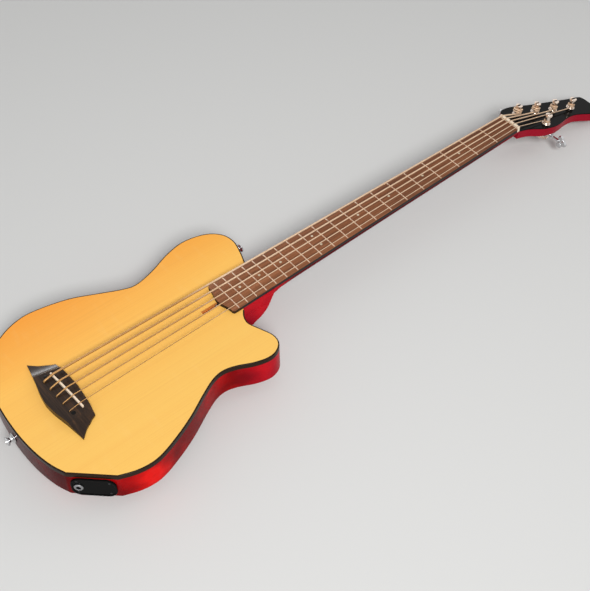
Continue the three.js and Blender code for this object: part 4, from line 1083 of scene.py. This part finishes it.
# The frets are nickel-silver wire, pressed into sawn slots and dressed over at their ends.
# Each place follows from the string length by the twelfth root of two.
def fret_growth():
    growth = Growth("fret_row", {
        "Count": ("Int", fret_count), "String length": ("Float", scale_length),
        "Nut place": ("Float", nut_y), "Nut width": ("Float", nut_width), "Taper": ("Float", 0.0),
        "Inset": ("Float", 0.6 * mm), "Wire radius": ("Float", 1.1 * mm),
        "Board crown": ("Float", board_crown), "Crown radius": ("Float", board_radius)})
    ends = growth.ends
    number = growth.node("GeometryNodeInputIndex") + 1
    halving = growth.node("ShaderNodeMath", {0: 2.0, 1: number * (-1 / 12)}, operation="POWER")
    away = ends["String length"] * (1 - halving)
    points = growth.node("GeometryNodeMeshLine", {"Count": ends["Count"]})
    points = growth.node("GeometryNodeSetPosition", {
        "Geometry": points, "Position": growth.vector(Y=ends["Nut place"] - away)})
    wire = growth.node("GeometryNodeCurvePrimitiveLine", {"Start": (-0.5, 0, 0), "End": (0.5, 0, 0)})
    wire = growth.node("GeometryNodeResampleCurve", {"Curve": wire, "Count": 24})
    width = ends["Nut width"] + away * ends["Taper"] - ends["Inset"] * 2
    wires = growth.copies(points, wire, Scale=growth.vector(X=width, Y=1, Z=1))
    spot = growth.node("GeometryNodeInputPosition")
    x = growth.node("ShaderNodeSeparateXYZ", {"Vector": spot}, "X")
    fall = ends["Crown radius"] ** 2 - x * x
    height = ends["Board crown"] - ends["Crown radius"] + fall**0.5
    laid = growth.node("GeometryNodeSetPosition", {
        "Geometry": wires, "Offset": growth.vector(Z=height)})
    return growth.finished(growth.tube(laid, ends["Wire radius"]))


def polished_metal(name, colour, low, high):
    """A metal with fine wear: its gloss changes in small smears."""
    finish = Finish(name)
    smears = finish.noise(120, (1, 1, 1), 4, 0.65)
    return finish.surface(
        Base_Color=(*colour, 1), Metallic=1, Roughness=finish.span(smears, 0.35, 0.7, low, high))


nickel = polished_metal("nickel_silver", (0.74, 0.55, 0.41), 0.24, 0.38)
frets = fret_growth().grow(meshed("fret_wires"), {
    "Finish": nickel, "Taper": (last_fret_width - nut_width) / (nut_y - fret_y(fret_count))})
smoothed(frets, math.radians(50))
dressed(frets, nickel, "fret_nickel", *[f"fret_{n + 1}" for n in range(fret_count)])


# The nut is a bar of bone, glued across the end of the board. It has a filed slot for each
# string that falls away towards the head.
nut = eased(copied("nut", "bone_nut"), 0.25 * mm)
dressed(nut, bone, "saddle_bone", "nut")


# The head's face is a thin black veneer under clear gloss, glued on before the post holes are
# drilled, so that it is pierced by all five of them.
def black_lacquer(name):
    finish = Finish(name)
    waves = finish.noise(25, (1, 1, 1), 2, 0.5)
    dust = finish.noise(900, (1, 1, 1), 2, 0.6)
    return finish.surface(
        Base_Color=(0.004, 0.004, 0.004, 1), Roughness=finish.span(dust, 0.4, 0.8, 0.10, 0.18),
        Normal=finish.bump(waves, 0.05 * mm, 0.15), Specular_IOR_Level=0.03)


face_start = 0.75 * mm
face = raised("black_head_face", head_outline, -veneer, 0)
face = cut(face, block(
    "face_start", (-head_half_width, -cut_past, -veneer - cut_past),
    (head_half_width, face_start, cut_past)), *post_holes())
eased(face, 0.35 * mm).data.transform(head_frame)
dressed(face, black_lacquer("black_lacquer"), "head_black", "head_veneer")


# Each tuner is chromed: a base plate with two lugs, a cloverleaf key with a worm on its shaft,
# and a post with a twenty-tooth gear that the worm turns.
gear_teeth = 20
gear_module = 1 * mm
gear_thickness = 4.5 * mm
gear_pitch_radius = gear_module * gear_teeth / 2
worm_pitch_radius = 3.5 * mm
worm_offset = gear_pitch_radius + worm_pitch_radius
worm_pitch = math.pi * gear_module
plate_thickness = 1.6 * mm
plate_top = head_back - 0.3 * mm
plate_under = plate_top - plate_thickness
worm_room = 0.5 * mm
worm_addendum = 0.75 * mm
worm_dedendum = 1.3 * mm
worm_overlap = 0.44 * mm
gear_middle = plate_under - worm_room - worm_pitch_radius - worm_addendum
gear_top = gear_middle + gear_thickness / 2
gear_low = gear_top - gear_thickness

chrome = polished_metal("bright_chrome", (0.56, 0.56, 0.57), 0.06, 0.16)
warm_nickel = polished_metal("warm_nickel", (0.78, 0.65, 0.55), 0.12, 0.24)


def gear_growth():
    """Sets leaning teeth round a rim."""
    growth = Growth("gear_teeth", {
        "Teeth": ("Int", gear_teeth), "Rim radius": ("Float", 0.01), "Phase": ("Float", 0.0),
        "Tooth": ("Object", None)})
    ends = growth.ends
    rim = growth.node("GeometryNodeMeshCircle", {
        "Vertices": ends["Teeth"], "Radius": ends["Rim radius"]})
    turn = growth.node("GeometryNodeInputIndex") * (math.tau / gear_teeth)
    teeth = growth.copies(rim, growth.shape("Tooth"), Rotation=growth.vector(Z=turn))
    return growth.finished(growth.node("GeometryNodeTransform", {
        "Geometry": teeth, "Rotation": growth.vector(Z=ends["Phase"])}))


gear_teeth_growth = gear_growth()
tooth_root = gear_pitch_radius - 1.1 * mm
tooth_tip = gear_pitch_radius + 0.85 * mm
tooth_lean = worm_pitch / (math.tau * worm_pitch_radius) * gear_thickness / 2
tooth_pitch = math.tau / gear_teeth
tooth_shares = [(0, -0.27), (0.5, -0.20), (1, -0.09), (1, 0.09), (0.5, 0.20), (0, 0.27)]
tooth_sink = 0.4 * mm
tooth_half_root = tooth_shares[-1][1]


def one_tooth():
    """A tooth on the X axis, its root sunk into the rim, leaning with its height."""
    rings = []
    for height, lean in ((gear_low, -tooth_lean), (gear_top, tooth_lean)):
        ring = [(-tooth_sink, -tooth_half_root * tooth_pitch * tooth_root + lean, height)]
        for up, side in tooth_shares:
            radius = tooth_root + up * (tooth_tip - tooth_root)
            ring.append((radius - tooth_root, side * tooth_pitch * radius + lean, height))
        ring.append((-tooth_sink, tooth_half_root * tooth_pitch * tooth_root + lean, height))
        rings.append(ring)
    return skin("tooth", rings)


def in_mm(pairs):
    return [(first * mm, second * mm) for first, second in pairs]


def merged(piece, other):
    """One object from two shells."""
    with mesh_work(piece) as work:
        work.from_mesh(other.data)
    bpy.data.objects.remove(other)
    return piece


post_foot = gear_low - 2 * mm
post_slot_width = 1.7 * mm
post_slot_reach = 9 * mm
post_slot_floor = 13 * mm
post_slot_top = 20 * mm
screw_slot_width = 0.5 * mm
screw_slot_reach = 5 * mm
post_top_profile = in_mm([
    (4, 0.3), (5.2, 0.3), (5.4, 0.5), (5.4, 2), (5.2, 2.2), (4.6, 2.4), (4.2, 3), (4.2, 13.4),
    (4.6, 14.1), (5.7, 14.5), (6, 14.9), (6, 17.4), (5.8, 17.8), (5.4, 18), (0, 18)])


def make_post(name, side):
    """The post, its collar, waist and slotted head, with the gear and its screw below."""
    post = turned(name, [
        (0, post_foot), (3.6 * mm, post_foot), (4 * mm, gear_low - 1.6 * mm), (4 * mm, gear_low),
        (tooth_root, gear_low), (tooth_root, gear_top), (4 * mm, gear_top), *post_top_profile], 40)
    slot = block("post_slot", (-post_slot_width, -post_slot_reach, post_slot_floor),
                 (post_slot_width, post_slot_reach, post_slot_top))
    screw_slot = block("screw_slot", (-screw_slot_width, -screw_slot_reach, gear_low - 3 * mm),
                       (screw_slot_width, screw_slot_reach, gear_low - 1.3 * mm))
    eased(cut(post, slot, screw_slot), 0.15 * mm)
    tooth = one_tooth()
    phase = math.pi / 2 + (2 + side) / 4 * tooth_pitch
    teeth = gear_teeth_growth.grow(meshed("teeth"), {
        "Rim radius": tooth_root, "Phase": phase, "Tooth": tooth, "Finish": chrome})
    bpy.data.objects.remove(tooth)
    return merged(post, teeth)


shaft_radius = 2.2 * mm
shaft_start = -11.6 * mm
stalk_start = 12.6 * mm
stalk_radius = 3.2 * mm
stalk_waist = 2.4 * mm
button_start = 24 * mm
lobe_row = 6.5 * mm
tip_row = 14.5 * mm
lobe_spread = 6 * mm
lobe_radius = 5.6 * mm
lobe_thickness = 5 * mm
lobe_shares = [(0.62, 0.5), (0.86, 0.36), (1, 0.1)]
worm_length = 12 * mm


def lobe(name, across, along):
    """One leaf of the cloverleaf button."""
    rim = [(lobe_radius * out, lobe_thickness * up) for out, up in lobe_shares]
    low_rim = [(radius, -height) for radius, height in rim]
    disc = turned(name, [
        (0, -lobe_thickness / 2), *low_rim, *reversed(rim), (0, lobe_thickness / 2)], 32)
    disc.data.transform(
        Matrix.Translation((across, 0, button_start + along)) @ Matrix.Rotation(math.pi / 2, 4, "X"))
    return disc


def make_key(name):
    """Shaft, worm and cloverleaf button along Z, from the worm's middle."""
    shaft = turned("shaft", [
        (0, shaft_start), (shaft_radius - 0.3 * mm, shaft_start), (shaft_radius, -11.3 * mm),
        (shaft_radius, stalk_start), (stalk_radius - 0.3 * mm, stalk_start),
        (stalk_radius, stalk_start + 0.3 * mm), (stalk_radius, stalk_start + 1.1 * mm),
        (stalk_waist, stalk_start + 2 * mm), (stalk_waist * 0.92, stalk_start + 5 * mm),
        (stalk_waist, button_start - 2 * mm), (stalk_radius, button_start + lobe_row / 2),
        (0, button_start + lobe_row)], 28)
    button = joined(
        lobe("bass_lobe", -lobe_spread, lobe_row), lobe("treble_lobe", lobe_spread, lobe_row),
        lobe("tip_lobe", 0, tip_row))
    key = eased(joined(shaft, button), 0.35 * mm, sharp=math.radians(25))
    key.data.shade_smooth()
    worm_root = worm_pitch_radius - worm_dedendum - worm_overlap
    worm_crest = worm_pitch_radius + worm_addendum
    thread_shares = ((worm_root, -0.29), (worm_root, 0.29), (worm_crest, 0.08), (worm_crest, -0.08))
    turns = (worm_length - worm_pitch) / worm_pitch
    steps_per_turn = 28
    rings = []
    for step in range(round(turns * steps_per_turn) + 1):
        turn = step / steps_per_turn - turns / 2
        angle = turn * math.tau
        rings.append([
            (radius * math.cos(angle), radius * math.sin(angle), (turn + share) * worm_pitch)
            for radius, share in thread_shares])
    worm = skin("worm", rings)
    smoothed(worm, math.radians(35))
    key.name = name
    return merged(key, worm)


def copy_in(piece, name, matrix):
    made = in_scene(name, piece.data.copy())
    made.data.transform(matrix)
    return made


plain_key = make_key("plain_key")
plain_posts = {side: make_post(f"plain_post_{side}", side) for side in (-1, 1)}
ferrule_inner = 5.7 * mm
ferrule_outer = 7.6 * mm
ferrule_height = 1.5 * mm
screw_radius = 2.2 * mm
screw_places = in_mm([(-8.3, -8.6), (8.3, -8.6), (-8.3, 17.6), (8.3, 17.6)])


def screw_head(name, radius, height):
    """A domed head with a cross recess."""
    head = turned(name, [
        (0, -0.4 * mm), (radius, -0.4 * mm), (radius, height * 0.25), (radius * 0.85, height * 0.7),
        (radius * 0.5, height * 0.95), (0, height)], 24)
    arm, deep = radius * 0.55, height * 0.35
    wide = radius * 0.11
    return eased(cut(
        head, block("recess", (-arm, -wide, deep), (arm, wide, height + 1 * mm)),
        block("cross_recess", (-wide, -arm, deep), (wide, arm, height + 1 * mm))), 0)


for number, (post_x, post_y, side) in enumerate(post_places, 1):
    seat = head_frame @ Matrix.Translation((post_x, post_y, 0))
    plate = eased(copied(f"tuner_plate_{number}", f"tuner_base_{number}"), 0.25 * mm)
    dressed(plate, chrome, "chrome", f"tuner_plate_{number}")
    post = copy_in(plain_posts[side], f"string_post_{number}", seat)
    dressed(post, warm_nickel, "chrome", f"tuner_post_{number}", body=f"post_{number}")
    key_seat = seat @ Matrix.Translation((0, worm_offset, gear_middle)) @ Matrix.Rotation(
        side * math.pi / 2, 4, "Y")
    key = copy_in(plain_key, f"clover_key_{number}", key_seat)
    dressed(key, chrome, "chrome", f"tuner_key_{number}", body=f"key_{number}")
for spare in (plain_key, *plain_posts.values()):
    bpy.data.objects.remove(spare)

flat_posts = [(x, y, 0) for x, y, side in post_places]
ferrule_seat = 0.05 * mm
ferrule_profile = [
    (ferrule_inner, ferrule_seat), (ferrule_outer, ferrule_seat),
    (ferrule_outer, ferrule_height * 0.5), (ferrule_outer - 0.5 * mm, ferrule_height),
    (ferrule_inner, ferrule_height)]
ferrule = skin("ferrule", [
    [(radius * x, radius * y, height) for radius, height in ferrule_profile]
    for x, y in arc(40, math.tau, 0)], True)
eased(ferrule, 0)
ferrules = row_of("post_ferrules", ferrule, flat_posts, warm_nickel, head_frame)
dressed(ferrules, warm_nickel, "chrome")
screw = screw_head("tuner_screw", screw_radius, 1.1 * mm)
screw.data.transform(Matrix.Translation((0, 0, plate_under)) @ Matrix.Rotation(math.pi, 4, "X"))
tuner_screw_spots = [
    (x + shift_x, y + shift_y, 0) for x, y, side in post_places for shift_x, shift_y in screw_places]
tuner_screws = row_of("tuner_plate_screws", screw, tuner_screw_spots, chrome, head_frame)
dressed(tuner_screws, chrome, "chrome")


# The strings are bronze wire wound on steel cores. Each has a ball end under the bridge plate,
# bends over the saddle and the nut, and is wound two turns round its post.
nut_spacing = 8.72 * mm
fret_height = 1.1 * mm
first_clearance = 0.7 * mm
string_rise = 7 * mm
bridge_plate_thickness = 3 * mm
saddle_peak = saddle_thickness / 2 - 0.3 * mm
nut_break_y = nut_y + nut_length * 0.3
ball_gap = 0.3 * mm
wrap_turns = 2
wrap_steps = 40
collar_top = 2.2 * mm
waist_radius = 4.2 * mm
wrap_gap = 0.3 * mm
turn_gap = 0.5 * mm


def nut_x(i):
    return (i - middle_string) * nut_spacing


def nut_under(i):
    return board_surface(nut_x(i)) + fret_height + first_clearance


def saddle_under(i):
    return nut_under(i) + string_rise - (saddle_x(i) ** 2 - nut_x(i) ** 2) / (2 * board_radius)


def string_path(i):
    """The string's middle line, from its ball end to the end of its winding."""
    radius = string_diameters[i] / 2
    ball_top = top_under - bridge_plate_thickness - ball_gap
    low = Vector((saddle_x(i), -hole_row, ball_top))
    lip = Vector((saddle_x(i), -hole_row, bridge_top + radius + joint_gap))
    ridge = Vector((saddle_x(i), saddle_x(i) * math.tan(saddle_slant) + saddle_peak,
                    saddle_under(i) + radius))
    nut_point = Vector((nut_x(i), nut_break_y, nut_under(i) + radius))
    post_x, post_y, side = post_places[i]
    start = head_frame.inverted() @ nut_point
    wrap_radius = waist_radius + wrap_gap + radius
    away = Vector((post_x - start.x, post_y - start.y))
    lean = math.acos(-wrap_radius / away.length)
    first = math.atan2(away.y, away.x) + side * lean
    wraps = []
    for step in range(wrap_turns * wrap_steps + 1):
        turn = step / wrap_steps
        angle = first - side * turn * math.tau
        wraps.append(Vector((
            post_x + wrap_radius * math.cos(angle), post_y + wrap_radius * math.sin(angle),
            collar_top + wrap_gap * 2 + radius + (2 * radius + turn_gap) * turn)))
    wraps.append(wraps[-1] + (wraps[-1] - wraps[-2]).normalized() * 2 * radius)
    corners = [low, lip, ridge, nut_point, *[head_frame @ point for point in wraps[:1]]]
    return rounded_path(corners, [2.5 * mm, 1.6 * mm, 3 * mm]) + [
        head_frame @ point for point in wraps[1:]]


def rounded_path(corners, radii):
    """The corners with each inner one rounded over in short steps."""
    path = [corners[0]]
    for i in range(1, len(corners) - 1):
        come, go = corners[i - 1] - corners[i], corners[i + 1] - corners[i]
        reach = min(radii[i - 1], come.length * 0.4, go.length * 0.4)
        start, end = corners[i] + come.normalized() * reach, corners[i] + go.normalized() * reach
        for step in range(7):
            t = step / 6
            path.append(start * (1 - t) ** 2 + corners[i] * 2 * t * (1 - t) + end * t**2)
    return path + [corners[-1]]


def string_growth():
    """A round wire along a line, with its length stored for the winding."""
    growth = Growth("wound_string", {"Radius": ("Float", 1 * mm)})
    line = growth.node("GeometryNodeMeshToCurve", {"Mesh": growth.ends["Geometry"]})
    length = growth.node("GeometryNodeSplineParameter", out="Length")
    marked = growth.node("GeometryNodeStoreNamedAttribute", {
        "Geometry": line, "Name": "wound_length", "Value": length}, data_type="FLOAT", domain="POINT")
    return growth.finished(growth.tube(marked, growth.ends["Radius"]))


def wound_bronze():
    """Round-wound bronze: a fine ridge for every turn, with painted shade in the grooves between,
    darker and browner over the body than over the board.
    """
    finish = Finish("wound_bronze")
    length = finish.node("ShaderNodeAttribute", out="Fac", attribute_name="wound_length")
    wrap_pitch = 0.55 * mm
    phase = finish.node("ShaderNodeMath", {0: length * (math.tau / wrap_pitch)}, operation="SINE")
    dull = finish.noise(150, (1, 1, 1), 3, 0.6)
    # Darker and browner over the body than over the board.
    over_body = finish.span(finish.along("Y"), 0.21, 0.29)
    tone = finish.mix(over_body, (0.42, 0.23, 0.08, 1), (0.72, 0.53, 0.37, 1))
    tone = finish.tinted(tone, dull, 0.35, 0.7, 0.3, (0.30, 0.19, 0.12))
    # Painted shade: the grooves between the turns are darkened.
    tone = finish.mix(finish.span(phase, -1, -0.2, 0.3, 0), tone, (0.14, 0.08, 0.05, 1))
    return finish.surface(
        Base_Color=tone, Metallic=0.9, Roughness=finish.span(dull, 0.3, 0.7, 0.48, 0.60),
        Normal=finish.bump(phase, 0.04 * mm, 0.3), Specular_IOR_Level=0.2)


wire_growth = string_growth()
bronze = wound_bronze()
ball_radius = 3 * mm
ball_length = 6 * mm
ball_round = 0.6 * mm
for i, diameter in enumerate(string_diameters):
    path = string_path(i)
    links = [(k, k + 1) for k in range(len(path) - 1)]
    string = meshed(f"wound_string_{i + 1}", path, links)
    wire_growth.grow(string, {"Radius": diameter / 2, "Finish": bronze})
    ball_top = path[0].z + 0.2 * mm
    ball_low = ball_top - ball_length
    merged(string, turned("ball_end", [
        (0, ball_low), (ball_radius - ball_round, ball_low), (ball_radius, ball_low + ball_round),
        (ball_radius, ball_top - ball_round), (ball_radius - ball_round, ball_top), (0, ball_top)],
        20, Matrix.Translation((path[0].x, path[0].y, 0))))
    smoothed(string, math.radians(50))
    dressed(string, bronze, "string_bronze", f"string_{i + 1}")


# The jack plate is moulded in gloss black with a raised rim, and four screws hold it on the
# tail's facet. The output jack stands through it, finished in satin chrome.
plate_length = 62 * mm
plate_height = 38 * mm
plate_corner = 14 * mm
plate_rim = 2.5 * mm
plate_seat = 0.3 * mm
plate_face = plate_seat + 2 * mm
rim_height = 1 * mm
jack_shift = 20.5 * mm


def rounded_box(length, height, corner):
    points = []
    steps = 12
    for quarter, (x, y) in enumerate(((1, 1), (-1, 1), (-1, -1), (1, -1))):
        for step in range(steps + 1):
            angle = (quarter + step / steps) * math.pi / 2
            points.append(Vector((
                x * (length / 2 - corner) + corner * math.cos(angle),
                y * (height / 2 - corner) + corner * math.sin(angle))))
    return points


rim_outline = rounded_box(plate_length, plate_height, plate_corner)
jack_plate = raised("gloss_jack_plate", rim_outline, plate_seat, plate_face + rim_height)
rim_hollow = raised("rim_hollow", rounded_box(
    plate_length - 2 * plate_rim, plate_height - 2 * plate_rim, plate_corner - plate_rim),
    plate_face, plate_face + rim_height + cut_past)
jack_bore = peg(
    "jack_bore", 4.9 * mm, -cut_past, plate_face + cut_past, 32, (-jack_shift, 0, 0))
eased(cut(jack_plate, rim_hollow, jack_bore), 0.9 * mm, 4).data.transform(facet_frame)
plate_black = black_lacquer("gloss_black_moulding")
dressed(jack_plate, plate_black, "plate_black", "jack_plate")

jack_face = plate_face + 0.1 * mm
jack = turned("chromed_jack", [
    (0, -24 * mm), (4.2 * mm, -24 * mm), (4.6 * mm, -23.6 * mm), (4.6 * mm, jack_face),
    (6.3 * mm, jack_face), (6.5 * mm, jack_face + 0.2 * mm), (6.5 * mm, jack_face + 1.3 * mm),
    (5.7 * mm, jack_face + 2.2 * mm), (5.2 * mm, jack_face + 2.4 * mm), (0, jack_face + 2.4 * mm)], 36)
bore = turned("bore", [
    (0, -15.2 * mm), (3.25 * mm, -15.2 * mm), (3.25 * mm, jack_face + 2 * mm),
    (3.6 * mm, jack_face + 2.5 * mm), (0, jack_face + 2.5 * mm)], 36)
jack_seat = facet_frame @ Matrix.Translation((-jack_shift, 0, 0))
eased(cut(jack, bore), 0).data.transform(jack_seat)
satin_chrome = polished_metal("satin_chrome", (0.32, 0.32, 0.33), 0.22, 0.36)
dressed(jack, satin_chrome, "chrome", "output_jack")
dark_steel = polished_metal("blackened_steel", (0.045, 0.045, 0.048), 0.25, 0.4)
plate_screw = screw_head("plate_screw", 1.8 * mm, 0.7 * mm)
plate_screw.data.transform(Matrix.Translation((0, 0, plate_face)))
plate_screw_x = 22 * mm
plate_screw_y = 12 * mm
plate_screw_spots = [(x * plate_screw_x, y * plate_screw_y, 0) for x in (-1, 1) for y in (-1, 1)]
plate_screws = row_of("jack_plate_screws", plate_screw, plate_screw_spots, dark_steel, facet_frame)
dressed(plate_screws, dark_steel, "hidden_steel")


# The preamp is a moulded plastic box, screwed to the chamber's floor behind the jack plate.
# The battery lies in its bay and is only seen with the top off.
recoloured("preamp", dark_plastic("moulded_black", 0.45))
recoloured("battery", dark_plastic("battery_wrap", 0.35))


# The two strap buttons are turned from brass and chromed. Each is held by its own screw, one
# in the tail's end and one in the upper horn.
strap_button_profile = in_mm([
    (0, -16), (2.2, -16), (2.4, -15.6), (2.4, 0), (7.3, 0), (7.5, 0.3), (7.4, 1.2), (6.2, 1.8),
    (4.4, 2.6), (3.7, 3.8), (3.6, 5.6), (3.8, 7.2), (4.8, 8.4), (6.4, 9.3), (7, 10), (7, 10.9),
    (6.7, 11.5), (6.2, 12), (2.6, 12), (2.4, 11.2), (0, 11.2)])
button_seat = 0.4 * mm
tail_y = -tail_reach - binding_width - button_seat
upper_y = body_length - tail_reach + binding_width + button_seat
for name, node, seat, turn in (
        ("tail_strap_button", "strap_button_tail", (-6 * mm, tail_y, 25 * mm), math.pi / 2),
        ("upper_strap_button", "strap_button_upper", (-86 * mm, upper_y, 28 * mm), -math.pi / 2)):
    place = Matrix.Translation(seat) @ Matrix.Rotation(turn, 4, "X")
    button = turned(name, strap_button_profile, 40, place)
    dressed(eased(button, 0, sharp=math.radians(40)), chrome, "chrome", node)
